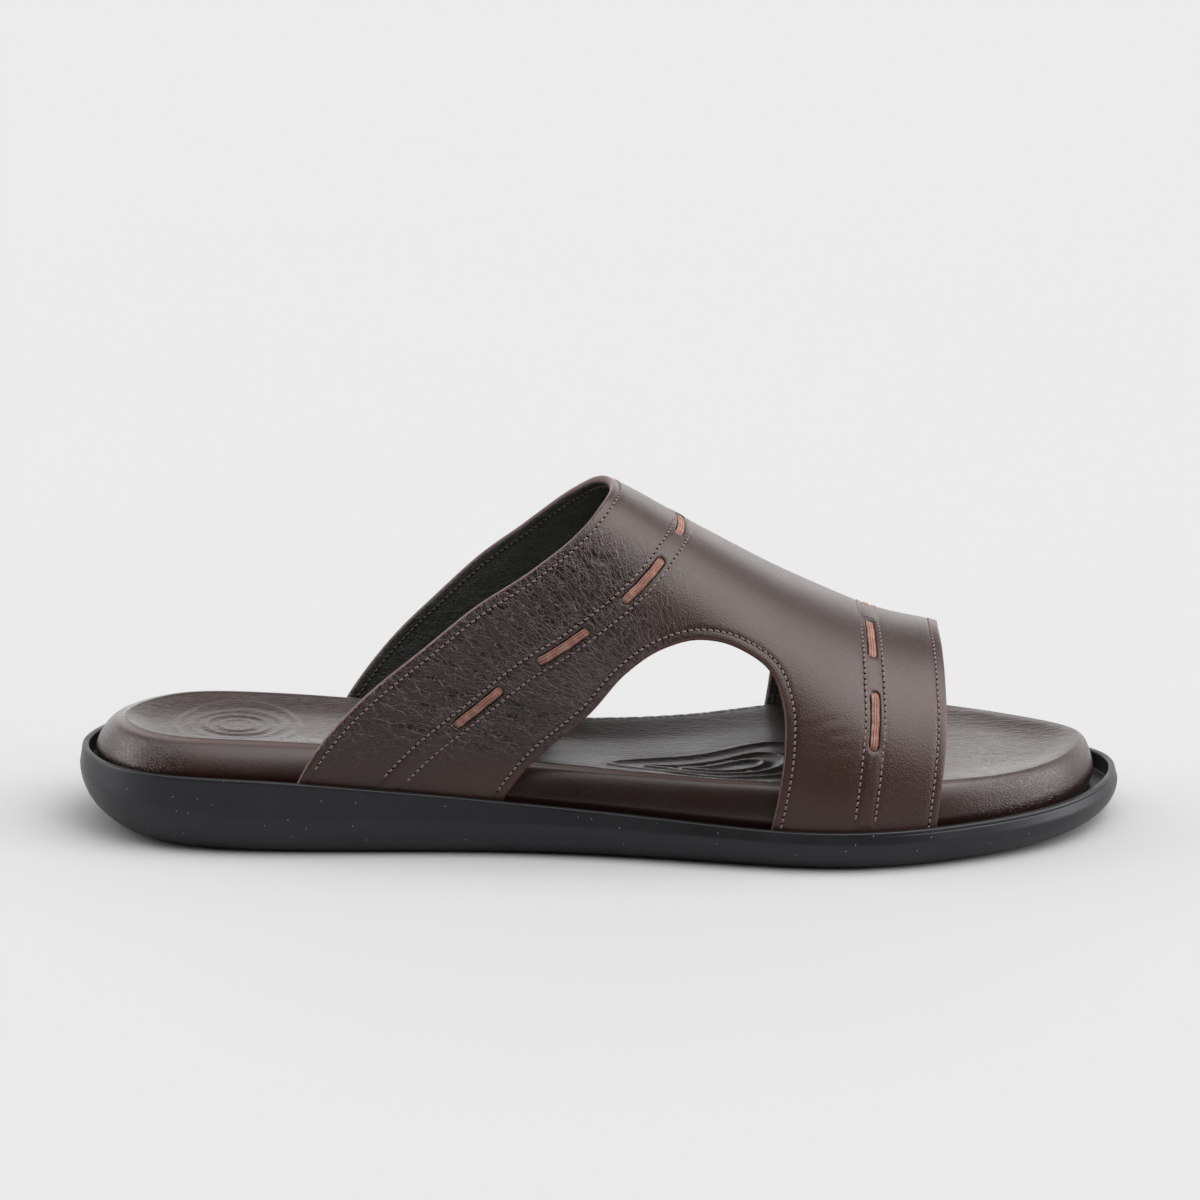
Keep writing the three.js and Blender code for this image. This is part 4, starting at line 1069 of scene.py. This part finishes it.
def stitch_tree():
    """Geometry nodes that lay stitches with their needle holes along lines of points."""
    tree = bpy.data.node_groups.new("Row of stitches", "GeometryNodeTree")
    face = tree.interface
    face.new_socket("Geometry", in_out="INPUT", socket_type="NodeSocketGeometry")
    for name in ("Pitch", "Stitch length", "Thread thickness", "Hole radius"):
        face.new_socket(name, in_out="INPUT", socket_type="NodeSocketFloat").subtype = "DISTANCE"
    face.new_socket("Seed", in_out="INPUT", socket_type="NodeSocketInt")
    for name in ("Thread", "Hole"):
        face.new_socket(name, in_out="INPUT", socket_type="NodeSocketMaterial")
    face.new_socket("Geometry", in_out="OUTPUT", socket_type="NodeSocketGeometry")
    nodes = Nodes(tree, prefix="")

    def node(kind, inputs=None, **settings):
        return nodes.node(kind, inputs, **settings).outputs

    def times(value, factor):
        return node("ShaderNodeMath", {0: value, 1: factor}, operation="MULTIPLY")[0]

    given = node("NodeGroupInput")
    line = node("GeometryNodeMeshToCurve", {"Mesh": given["Geometry"]})
    even = node("GeometryNodeResampleCurve", {"Curve": line["Curve"], "Length": given["Pitch"]},
                mode="LENGTH")

    # one stitch: an arched thread that dives into the leather at both ends
    bends = {"Resolution": 4}
    for name, along, up in (("Start", -0.5, -0.32), ("Middle", 0.0, 0.75), ("End", 0.5, -0.32)):
        at = {"X": times(given["Stitch length"], along), "Z": times(given["Thread thickness"], up)}
        bends[name] = node("ShaderNodeCombineXYZ", at)[0]
    arch = node("GeometryNodeCurveQuadraticBezier", bends)
    round_section = {"Resolution": 6, "Radius": times(given["Thread thickness"], 0.5)}
    section = node("GeometryNodeCurvePrimitiveCircle", round_section)
    swept = {"Curve": arch["Curve"], "Profile Curve": section["Curve"], "Fill Caps": True}
    soft = node("GeometryNodeSetShadeSmooth", {"Geometry": node("GeometryNodeCurveToMesh", swept)["Mesh"]})
    thread = node("GeometryNodeTransform", {"Geometry": soft["Geometry"], "Rotation": (0, 0, THREAD_SLANT)})

    # its needle hole: a low dark disc beyond the end of the thread, the painted shade of the hole
    radius = given["Hole radius"]
    low_disc = {"Vertices": 7, "Radius Top": times(radius, 0.7), "Radius Bottom": radius, "Depth": HOLE_DISC}
    marked = {"Geometry": node("GeometryNodeMeshCone", low_disc)["Mesh"], "Name": "hole", "Value": True}
    disc = node("GeometryNodeStoreNamedAttribute", marked, data_type="BOOLEAN", domain="FACE")
    beside = node("ShaderNodeCombineXYZ", {"X": times(given["Pitch"], 0.5), "Z": -HOLE_DISC / 3})[0]
    hole = node("GeometryNodeTransform", {"Geometry": disc["Geometry"], "Translation": beside,
                                          "Rotation": (0, 0, HOLE_SLANT), "Scale": HOLE_OVAL})
    stitch = nodes.node("GeometryNodeJoinGeometry")
    for part in (hole, thread):
        nodes.put(stitch.inputs["Geometry"], part["Geometry"])

    # turned along the row and out of the leather, a little unevenly
    ahead = node("GeometryNodeInputTangent")[0]
    out = node("GeometryNodeInputNamedAttribute", {"Name": "out"}, data_type="FLOAT_VECTOR")["Attribute"]
    along = node("FunctionNodeAlignRotationToVector", {"Vector": ahead}, axis="X")["Rotation"]
    upright = node("FunctionNodeAlignRotationToVector", {"Rotation": along, "Vector": out},
                   axis="Z", pivot_axis="X")["Rotation"]
    sway = nodes.node("FunctionNodeRandomValue", {"Seed": given["Seed"]}, data_type="FLOAT")
    ends = [s for s in sway.inputs if s.type == "VALUE" and s.enabled]
    ends[0].default_value, ends[1].default_value = -STITCH_SWAY, STITCH_SWAY
    lean = node("ShaderNodeCombineXYZ", {"Z": [s for s in sway.outputs if s.enabled][0]})
    euler = node("FunctionNodeEulerToRotation", {0: lean[0]})[0]
    turned = node("FunctionNodeRotateRotation", {"Rotation": upright, "Rotate By": euler},
                  rotation_space="LOCAL")["Rotation"]
    laid = node("GeometryNodeInstanceOnPoints", {"Points": even["Curve"], "Rotation": turned,
                                                 "Instance": stitch.outputs["Geometry"]})
    real = node("GeometryNodeRealizeInstances", {"Geometry": laid["Instances"]})
    threads = node("GeometryNodeSetMaterial", {"Geometry": real["Geometry"], "Material": given["Thread"]})
    is_hole = node("GeometryNodeInputNamedAttribute", {"Name": "hole"}, data_type="BOOLEAN")["Attribute"]
    holes = node("GeometryNodeSetMaterial", {"Geometry": threads["Geometry"], "Selection": is_hole,
                                             "Material": given["Hole"]})
    node("NodeGroupOutput", {"Geometry": holes["Geometry"]})
    return tree


def sew(name, lines, sewing, tree, materials):
    """Stitches along lines, each a pair of points and directions out of the leather, as one mesh."""
    points = np.concatenate([line for line, _ in lines])
    outs = np.concatenate([out for _, out in lines])
    edges, first = [], 0
    for line, _ in lines:
        edges += [(first + i, first + i + 1) for i in range(len(line) - 1)]
        first += len(line)
    mesh = bpy.data.meshes.new(name + "_lines")
    mesh.from_pydata((points * MM).tolist(), edges, [])
    out = mesh.attributes.new("out", "FLOAT_VECTOR", "POINT")
    out.data.foreach_set("vector", outs.astype(np.float32).ravel())
    rows = bpy.data.objects.new(name + "_lines", mesh)
    bpy.context.scene.collection.objects.link(rows)
    modifier = rows.modifiers.new("stitches", "NODES")
    modifier.node_group = tree
    values = {"Pitch": sewing.pitch, "Stitch length": sewing.length, "Thread thickness": sewing.thickness,
              "Hole radius": sewing.hole, "Seed": sewing.seed, "Thread": materials[0], "Hole": materials[1]}
    for item in tree.interface.items_tree:
        if item.item_type == "SOCKET" and item.in_out == "INPUT" and item.name in values:
            modifier[item.identifier] = values[item.name]
    rows.data.update()
    made = bpy.data.meshes.new_from_object(rows.evaluated_get(bpy.context.evaluated_depsgraph_get()))
    rows.modifiers.remove(modifier)
    bpy.data.objects.remove(rows)
    made.name = name
    piece = bpy.data.objects.new(name, made)
    bpy.context.scene.collection.objects.link(piece)
    if len(made.polygons) == 0:
        raise RuntimeError(name + " came out empty")
    return piece


def stitch_line(place, height):
    """A row of stitches over places on the last, kept above the tray, at a height over the face."""
    place = place[np.abs(place[:, 1]) < math.radians(86)]
    out = out_of(place)
    return on_last(place) + out * height, out


class SANDAL_OT_stitching(bpy.types.Operator):
    """Sews the rows of stitches round the edges and beside the laces"""
    bl_idname = "sandal.stitching"
    bl_label = "Stitching"

    def execute(self, context):
        sewing = context.scene.sandal_stitching
        tree = stitch_tree()
        materials = [thread_finish("sewing thread", colour(sewing.thread)), hole_shade_finish()]
        dark = tuple(LINING_THREAD * c for c in colour(sewing.thread))
        dark = [thread_finish("lining thread", dark), materials[1]]
        free = (COLLAR_LINE, CUTOUTS["inner"], TOE_LINE[::-1], CUTOUTS["outer"][::-1])
        free = [evenly(line, 1.0) for line in free]
        edge_rows = [walk(line, inward_of(line), sewing.inset / MM) for line in free]
        groove = -SEAM_DEPTH - EDGE_SINK * bell(sewing.inset / MM, 2.2) + 0.04
        outer = [stitch_line(row, groove) for row in edge_rows]
        for row in (INSTEP_ROW, TOE_ROW):
            along = np.arange(row.at[0] + 1, row.at[-1] - 1, 1.0)
            for side in (-1, 1):
                place = row.place(along, side * sewing.lace_margin / MM * np.ones(len(along)))
                outer.append(stitch_line(place, -0.16))
        finish_piece(sew("upper_stitches", outer, sewing, tree, materials), "upper")
        inner = []
        for row in edge_rows:
            points, out = stitch_line(row, -UPPER_WALL + 0.12)
            inner.append((points, -out))
        finish_piece(sew("lining_stitches", inner, sewing, tree, dark), "upper")
        return {"FINISHED"}


# ---- Laces ----

class SANDAL_OT_laces(bpy.types.Operator):
    """Lays the flat laces in their slots"""
    bl_idname = "sandal.laces"
    bl_label = "Laces"

    def execute(self, context):
        settings = context.scene.sandal_laces
        material = lace_leather(settings)
        half = settings.width / MM / 2
        proud = settings.proud / MM
        share = np.array([-1, -0.9, -0.62, -0.3, 0, 0.3, 0.62, 0.9, 1])
        crown = np.array([-0.34, -0.12, -0.02, 0.03, 0.05, 0.03, -0.02, -0.12, -0.34])
        profile = np.concatenate([np.column_stack([share * half, crown]),
                                  np.column_stack([share[::-1] * half * 0.96, 0 * share - 0.62])])
        for name, row, nodes in (("instep_lace", INSTEP_ROW, "instep_lace_bar"),
                                 ("toe_lace", TOE_ROW, "toe_lace_bar")):
            verts, faces, across = [], [], []
            for middle in row.middles:
                along = np.linspace(-LACE_REACH, LACE_REACH, 45)
                dip = -0.62 * ease(np.abs(along), 6.9, SLOT_REACH)
                first = sum(len(v) for v in verts)
                count = len(profile)
                for a, d in zip(along, dip):
                    wave = 0.05 * math.sin(a * 1.1 + middle)
                    place = row.place(np.full(count, middle + a), profile[:, 0] + wave)
                    verts.append(on_last(place) + out_of(place) * (profile[:, 1] + proud + d)[:, None])
                    across.append(profile[:, 0])
                rings = [f + first for f in ring_faces(count, len(along))]
                faces += [list(f) for f in np.concatenate(rings)]
                faces.append([first + i for i in reversed(range(count))])
                faces.append([first + (len(along) - 1) * count + i for i in range(count)])
            points = np.concatenate(verts)
            quads = np.array([f for f in faces if len(f) == 4])
            if volume_of(points, quads[:, :3]) + volume_of(points, quads[:, [0, 2, 3]]) < 0:
                faces = [f[::-1] for f in faces]
            lace = make_mesh(name, points, faces, [material], fields={"across": np.concatenate(across)})
            finish_piece(lace, "lace", *[f"{nodes}_{i + 1}" for i in range(len(row.middles))])
        return {"FINISHED"}


# ---- Sole and footbed ----

class SANDAL_OT_outsole(bpy.types.Operator):
    """Moulds the outsole with its lip and the tread under it"""
    bl_idname = "sandal.outsole"
    bl_label = "Outsole"

    def execute(self, context):
        settings = context.scene.sandal_sole
        rings = []

        def wall(angle):
            lean = math.radians(angle)
            return ring(lambda x: HEEL_RIM * tuck_at(x / SOLE_LENGTH) * (1 - math.sin(lean)),
                        lambda x: underside_height(x) + HEEL_RIM * round_at(x / SOLE_LENGTH) * (1 - math.cos(lean)))

        rings += [wall(angle) for angle in np.linspace(0, 90, 19)]
        top = rings[-1]
        lip = ring(lambda x: LIP_LEAN, lambda x: rim_height(x) - LIP_ROUNDING)
        steps = (0.14, 0.3, 0.46, 0.6, 0.7)
        rings += [top + (lip - top) * share for share in steps]
        # a fine moulded line under the lip
        for share, inset in ((0.76, 0.0), (0.775, 0.22), (0.8, 0.24), (0.83, 0.1), (0.9, 0.02)):
            at = top + (lip - top) * share
            base = around()
            at[:, :2] -= base[:, 2:] * (inset * ease(base[:, :1], 70, 125))
            rings.append(at)
        inner = LIP_LEAN + LIP_THICKNESS
        for angle in (0, 30, 60, 90):
            a = math.radians(angle)
            rings.append(ring(lambda x: LIP_LEAN + LIP_ROUNDING * (1 - math.cos(a)),
                              lambda x: rim_height(x) - LIP_ROUNDING * (1 - math.sin(a))))
        for angle in (90, 60, 30, 0):
            a = math.radians(angle)
            rings.append(ring(lambda x: inner - LIP_ROUNDING * (1 - math.cos(a)),
                              lambda x: rim_height(x) - LIP_ROUNDING * (1 - math.sin(a))))
        for down in (1.2, 2.4, 3.8, 4.6):
            rings.append(ring(lambda x: inner, lambda x: rim_height(x) - down))
        rings.append(ring(lambda x: inner + 0.12, lambda x: tray_height(x) + 0.12))
        rings.append(ring(lambda x: inner + 0.4, tray_height))
        count = len(rings[0])
        quads = np.concatenate(ring_faces(count, len(rings)))
        verts = np.concatenate(rings)

        # underside, with ribs across it inside a plain border
        pitch, depth = settings.tread_pitch / MM, settings.tread_depth / MM
        sole_edge = rings[0]
        far = 5.0
        border_line = ring(lambda x: HEEL_RIM * tuck_at(x / SOLE_LENGTH) + far, underside_height)[:, :2]
        cols, inside = [], []
        phases = (0.0, 0.1, 0.42, 0.52)
        marks = np.array([(n + p) * pitch for n in range(-40, 40) for p in phases])
        low = np.array([0, 1, 1, 0] * 80)
        keep = (marks > border_line[:, 0].min() + 0.6) & (marks < border_line[:, 0].max() - 0.6)
        for x, sunk, cuts in zip(marks[keep], low[keep], inside_columns(border_line, marks[keep])):
            a, b = cuts[0], cuts[-1]
            if b - a < 4:
                continue
            y = np.concatenate([[a, a + 0.5], np.arange(a + 2, b - 1.2, 1.6), [b - 0.5, b]])
            z = np.zeros(len(y))
            z[1:-1] = sunk
            cols.append(np.column_stack([x + 0 * y, y]))
            inside.append(z)
        tread, sunk = np.concatenate(cols), np.concatenate(inside)
        between = ring(lambda x: HEEL_RIM * tuck_at(x / SOLE_LENGTH) + 2.4, underside_height)[:, :2]
        inner_points = np.concatenate([between, tread])
        sink = np.concatenate([np.zeros(len(between)), sunk])
        flat = np.concatenate([sole_edge[:, :2], inner_points])
        face = triangulate(flat, count)
        z = underside_height(inner_points[:, 0]) + depth * sink
        first = len(verts)
        verts = np.concatenate([verts, np.column_stack([inner_points, z])])
        face = np.where(face < count, face, face - count + first)[:, ::-1]

        # floor of the tray
        last_ring = first - count
        tray_loop = rings[-1]
        spread = lattice(tray_loop[:, :2], 5.0, tray_loop[:, :2], 3.0)
        flat = np.concatenate([tray_loop[:, :2], spread])
        floor = triangulate(flat, count)
        start = len(verts)
        verts = np.concatenate([verts, np.column_stack([spread, tray_height(spread[:, 0])])])
        floor = np.where(floor < count, floor + last_ring, floor - count + start)
        faces = [*quads.tolist(), *face.tolist(), *floor.tolist()]
        outsole = make_mesh("moulded_outsole", verts, faces, [sole_rubber(settings)])
        finish_piece(outsole, "outsole", "outsole")
        return {"FINISHED"}


def footbed_inset(x):
    return LIP_LEAN + LIP_THICKNESS + FOOTBED_GAP * gap_at(x / SOLE_LENGTH)


def seat_share(ridge, points):
    """Share of the way in from the ridge to the middle of the seat, and distance beyond the middle."""
    half = len(ridge) // 2
    outer, inner = ridge[:half + 1], np.concatenate([ridge[half:], ridge[:1]])[::-1]
    reach = SOLE_LENGTH * (0.5 - SEAT_END)
    x = points[:, 0]
    low, high = np.interp(x, outer[:, 0], outer[:, 1]), np.interp(x, inner[:, 0], inner[:, 1])
    middle = (low + high) / 2
    share = 1 - np.abs(points[:, 1] - middle) / np.maximum((high - low) / 2, 1e-6)
    for sign in (-1, 1):
        end = sign * reach
        sides = [np.interp(end, side[:, 0], side[:, 1]) for side in (outer, inner)]
        centre = np.array([end, (sides[0] + sides[1]) / 2])
        beyond = sign * x > reach
        rim = ridge[sign * ridge[:, 0] > reach - 2, :2] - centre
        angle = np.arctan2(rim[:, 1], sign * rim[:, 0])
        order = np.argsort(angle)
        away = points[beyond] - centre
        size = np.hypot(away[:, 0], away[:, 1])
        rim_away = np.hypot(rim[:, 0], rim[:, 1])[order]
        edge = np.interp(np.arctan2(away[:, 1], sign * away[:, 0]), angle[order], rim_away)
        share[beyond] = 1 - size / edge
    return np.clip(share, 0, 1), points[:, 1] - middle


class SANDAL_OT_footbed(bpy.types.Operator):
    """Shapes the leather-covered footbed with the relief of its seat"""
    bl_idname = "sandal.footbed"
    bl_label = "Footbed"

    def execute(self, context):
        settings = context.scene.sandal_footbed
        wall = smooth_line(FOOTBED_WALL, 4)

        def foot(x):
            return tray_height(x) + CLEARANCE

        def shoulder(x):
            return mix(BALL_SHOULDER, HEEL_SHOULDER, x)

        rings = []
        for tuck, inward, up in wall:
            rings.append(ring(lambda x: footbed_inset(x) + SIDE_TUCK * tuck + shoulder(x) * inward,
                              lambda x: foot(x) + (ridge_height(x) - foot(x)) * up))
        ridge = rings[-1]
        count = len(ridge)

        def height(x, y):
            share, beyond = seat_share(ridge, np.column_stack([x, y]))
            hollow = np.where(beyond > 0, ease(share, 0.0, 0.55), ease(share, 0.0, 1.0))
            dish = mix(BALL_DISH, HEEL_DISH, x) * seat_down(share)
            return ridge_height(x) - dish - WAIST_HOLLOW * bell(x + 6, 40) * hollow

        # seat: rows beside the ridge, round the rings and the drops, then an even spread
        rows = []
        middle = np.array(HEEL_RINGS[0])
        for inward in (0.35, 0.8, 1.4, 2.2):
            rows.append(ring(lambda x: footbed_inset(x) + shoulder(x) + inward, ridge_height)[:, :2])
        for radius in HEEL_RINGS[1]:
            for offset in (-1.5, -0.9, -0.4, 0, 0.4, 0.9, 1.5):
                turn = np.linspace(0, 2 * np.pi, round(2 * np.pi * (radius + offset) / 0.9), endpoint=False)
                rows.append(middle + (radius + offset) * np.column_stack([np.cos(turn), np.sin(turn)]))
        drops = []
        for points in DROPS:
            line = closed_spline(points, 14)
            ahead = unit(np.roll(line, -1, axis=0) - np.roll(line, 1, axis=0))
            side = np.column_stack([ahead[:, 1], -ahead[:, 0]])
            drops.append(np.column_stack([np.concatenate([line, line[:1]]), np.zeros(len(line) + 1)]))
            rows += [line + side * offset for offset in (-1.1, -0.65, -0.3, 0, 0.3, 0.65, 1.1)]
        placed = np.concatenate(rows)
        near = np.concatenate([ridge[:, :2], placed])
        spread = lattice(ridge[:, :2], 1.25, near, 0.75)
        inside = np.concatenate([placed, spread])
        x, y = inside.T
        relief = np.zeros(len(inside))
        from_middle = np.hypot(x - middle[0], y - middle[1])
        bearing = np.arctan2(y - middle[1], x - middle[0])
        for radius, share in zip(*HEEL_RINGS[1:]):
            wander = radius * (1 + 0.03 * np.sin(2 * bearing + radius)
                               + 0.015 * np.sin(5 * bearing + 2 * radius))
            relief += settings.ring_height / MM * share * bell(from_middle - wander, 1.0)
            relief -= 0.5 * settings.ring_height / MM * share * bell(from_middle - wander - 1.9, 1.0)
        flat3 = np.column_stack([inside, np.zeros(len(inside))])
        for line in drops:
            away = distance_to(line, flat3)[0]
            relief += settings.drop_height / MM * (bell(away, 1.25) - 0.2 * bell(away - 2.4, 1.2))
        ridge_line = np.column_stack([ridge[:, :2], 0 * ridge[:, 0]])
        from_ridge = distance_to(ridge_line, flat3)[0]
        relief = relief * ease(from_ridge, 0.8, 4) + 0.3 * bell(from_ridge - 0.75, 0.5) * ease(-x, -112, -90)
        seat_z = height(x, y) + relief
        flat = np.concatenate([ridge[:, :2], inside])
        top = triangulate(flat, count)
        # underside
        under = lattice(rings[0][:, :2], 6.0, rings[0][:, :2], 3.5)
        base = triangulate(np.concatenate([rings[0][:, :2], under]), count)
        verts = np.concatenate(rings)
        first, last_ring = len(verts), len(verts) - count
        caps = [np.column_stack([inside, seat_z]), np.column_stack([under, foot(under[:, 0])])]
        verts = np.concatenate([verts] + caps)
        top = np.where(top < count, top + last_ring, top - count + first)
        base = np.where(base < count, base, base - count + first + len(inside))[:, ::-1]
        faces = [*np.concatenate(ring_faces(count, len(rings))).tolist(), *top.tolist(), *base.tolist()]
        ridge_away = np.full(len(verts), 9.0)
        heights = np.repeat([row[2] for row in wall], count)
        ridge_away[:first] = (1 - heights) * 8
        ridge_away[first:first + len(inside)] = from_ridge
        seat = np.zeros(len(verts))
        seat[first:first + len(inside)] = ease(ridge_away[first:first + len(inside)], 0, 3)
        fields = {"seat": seat, "along": verts[:, 0], "ridge": ridge_away}
        footbed = make_mesh("leather_footbed", verts, faces, [footbed_leather(settings)], fields=fields)
        finish_piece(footbed, "footbed", "footbed", fill=1.0)
        return {"FINISHED"}


# ---- Stage ----

# Soft boxes of light: degrees to the right of the camera's side and above the floor, half angles of
# their bright middle and of their edge, and strength
SOFTBOXES = (
    (75, 49, 22, 42, 3.0), (-104, 33, 6, 22, 4.2), (10, 82, 12, 48, 2.0),
    (88, 12, 8, 28, 5.0), (-90, 11, 5, 22, 4.4),
)


class SandalStage(bpy.types.PropertyGroup):
    fill: FloatProperty(name="Fill", description="Even light from all round", min=0, max=2, default=0.03)
    wall: FloatProperty(name="Wall", description="Light of the pale wall behind", min=0, max=5, default=1.75)
    floor: FloatVectorProperty(name="Floor", description="Colour of the plain floor",
                               subtype="COLOR", min=0, max=1, default=(0.43, 0.43, 0.43))
    distance: FloatProperty(name="Camera distance", description="From the camera to the point it looks at",
                            min=0.5, max=5, default=1.5, unit="LENGTH")
    elevation: FloatProperty(name="Camera elevation", description="Angle of the camera above the floor",
                             min=0, max=1.5, default=math.radians(16), unit="ROTATION")
    field: FloatProperty(name="Picture width", description="Width of the picture at the point looked at",
                         min=0.1, max=2, default=0.332, unit="LENGTH")
    aim: FloatProperty(name="Aim height", description="Height of the point that the camera looks at",
                       min=0, max=0.3, default=0.0628, unit="LENGTH")


class SANDAL_OT_stage(bpy.types.Operator):
    """Sets the floor, the soft light and the camera"""
    bl_idname = "sandal.stage"
    bl_label = "Stage"

    def execute(self, context):
        settings = context.scene.sandal_stage
        scene = context.scene
        floor = make_mesh("floor", np.array([(-9, -6, 0), (9, -6, 0), (9, 14, 0), (-9, 14, 0)]) / MM,
                          [(0, 1, 2, 3)], [], smooth=False)
        ground = Finish("floor")
        grey = colour(settings.floor)
        tone = ground.blend(ground.noise(3, 2), grey, tuple(1.01 * c for c in grey))
        ground.set(Base_Color=tone, Roughness=0.85, Specular_IOR_Level=0.1)
        floor.data.materials.append(ground.material)

        world = bpy.data.worlds.new("studio")
        world.use_nodes = True
        sky = Nodes(world.node_tree)
        direction = sky.node("TexCoord").outputs["Generated"]
        split = sky.node("SeparateXYZ", {0: direction}).outputs
        # a pale wall behind, low in the picture's own direction
        total = sky.math("MULTIPLY", sky.range(split["Y"], 0.2, 0.9, 0.0, settings.wall),
                         sky.range(split["Z"], 0.2, 0.7, 1.0, 0.15))
        total = sky.math("ADD", total, sky.range(split["Z"], -0.1, 1.0, settings.fill, 3 * settings.fill))
        for azimuth, height, inner, outer, strength in SOFTBOXES:
            a, e, near, far = (math.radians(angle) for angle in (azimuth, height, inner, outer))
            towards = (math.sin(a) * math.cos(e), -math.cos(a) * math.cos(e), math.sin(e))
            facing = sky.node("VectorMath", {0: direction, 1: towards}, operation="DOT_PRODUCT")
            glow = sky.range(facing.outputs["Value"], math.cos(far), math.cos(near), 0, strength)
            total = sky.math("ADD", total, glow)
        background = sky.tree.nodes["Background"].inputs
        sky.put(background["Strength"], total)
        sky.put(background["Color"], (1, 1, 1, 1))
        scene.world = world

        lens = bpy.data.cameras.new("camera")
        lens.sensor_width = 36
        lens.sensor_fit = "HORIZONTAL"
        lens.lens = 36 * settings.distance / settings.field
        camera = bpy.data.objects.new("camera", lens)
        lean = settings.elevation
        away = settings.distance
        camera.location = (0, -away * math.cos(lean), settings.aim + away * math.sin(lean))
        camera.rotation_euler = (math.pi / 2 - lean, 0, 0)
        scene.collection.objects.link(camera)
        scene.camera = camera
        scene.view_settings.view_transform = "Standard"
        return {"FINISHED"}


class VIEW3D_PT_sandal(bpy.types.Panel):
    """Sizes and colours of the sandal, and the steps that build it"""
    bl_label = "Slide sandal"
    bl_space_type = "VIEW_3D"
    bl_region_type = "UI"
    bl_category = "Sandal"

    def draw(self, context):
        for operator, group in STEPS:
            box = self.layout.box()
            box.operator(operator.bl_idname)
            settings = getattr(context.scene, group)
            for key in settings.__annotations__:
                box.prop(settings, key)


GROUPS = (
    ("sandal_stage", SandalStage), ("sandal_sole", SandalSole), ("sandal_footbed", SandalFootbed),
    ("sandal_upper", SandalUpper), ("sandal_laces", SandalLaces), ("sandal_stitching", SandalStitching),
)
STEPS = (
    (SANDAL_OT_stage, "sandal_stage"), (SANDAL_OT_outsole, "sandal_sole"),
    (SANDAL_OT_footbed, "sandal_footbed"), (SANDAL_OT_upper, "sandal_upper"),
    (SANDAL_OT_laces, "sandal_laces"), (SANDAL_OT_stitching, "sandal_stitching"),
)


def register():
    for key, group in GROUPS:
        bpy.utils.register_class(group)
        setattr(bpy.types.Scene, key, PointerProperty(type=group))
    for operator, _ in STEPS:
        bpy.utils.register_class(operator)
    bpy.utils.register_class(VIEW3D_PT_sandal)


def unregister():
    bpy.utils.unregister_class(VIEW3D_PT_sandal)
    for operator, _ in reversed(STEPS):
        bpy.utils.unregister_class(operator)
    for key, group in reversed(GROUPS):
        delattr(bpy.types.Scene, key)
        bpy.utils.unregister_class(group)


def main():
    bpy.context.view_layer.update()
    register()
    bpy.ops.sandal.stage()
    bpy.ops.sandal.outsole()
    bpy.ops.sandal.footbed()
    bpy.ops.sandal.upper()
    bpy.ops.sandal.laces()
    bpy.ops.sandal.stitching()


if __name__ == "__main__":
    main()
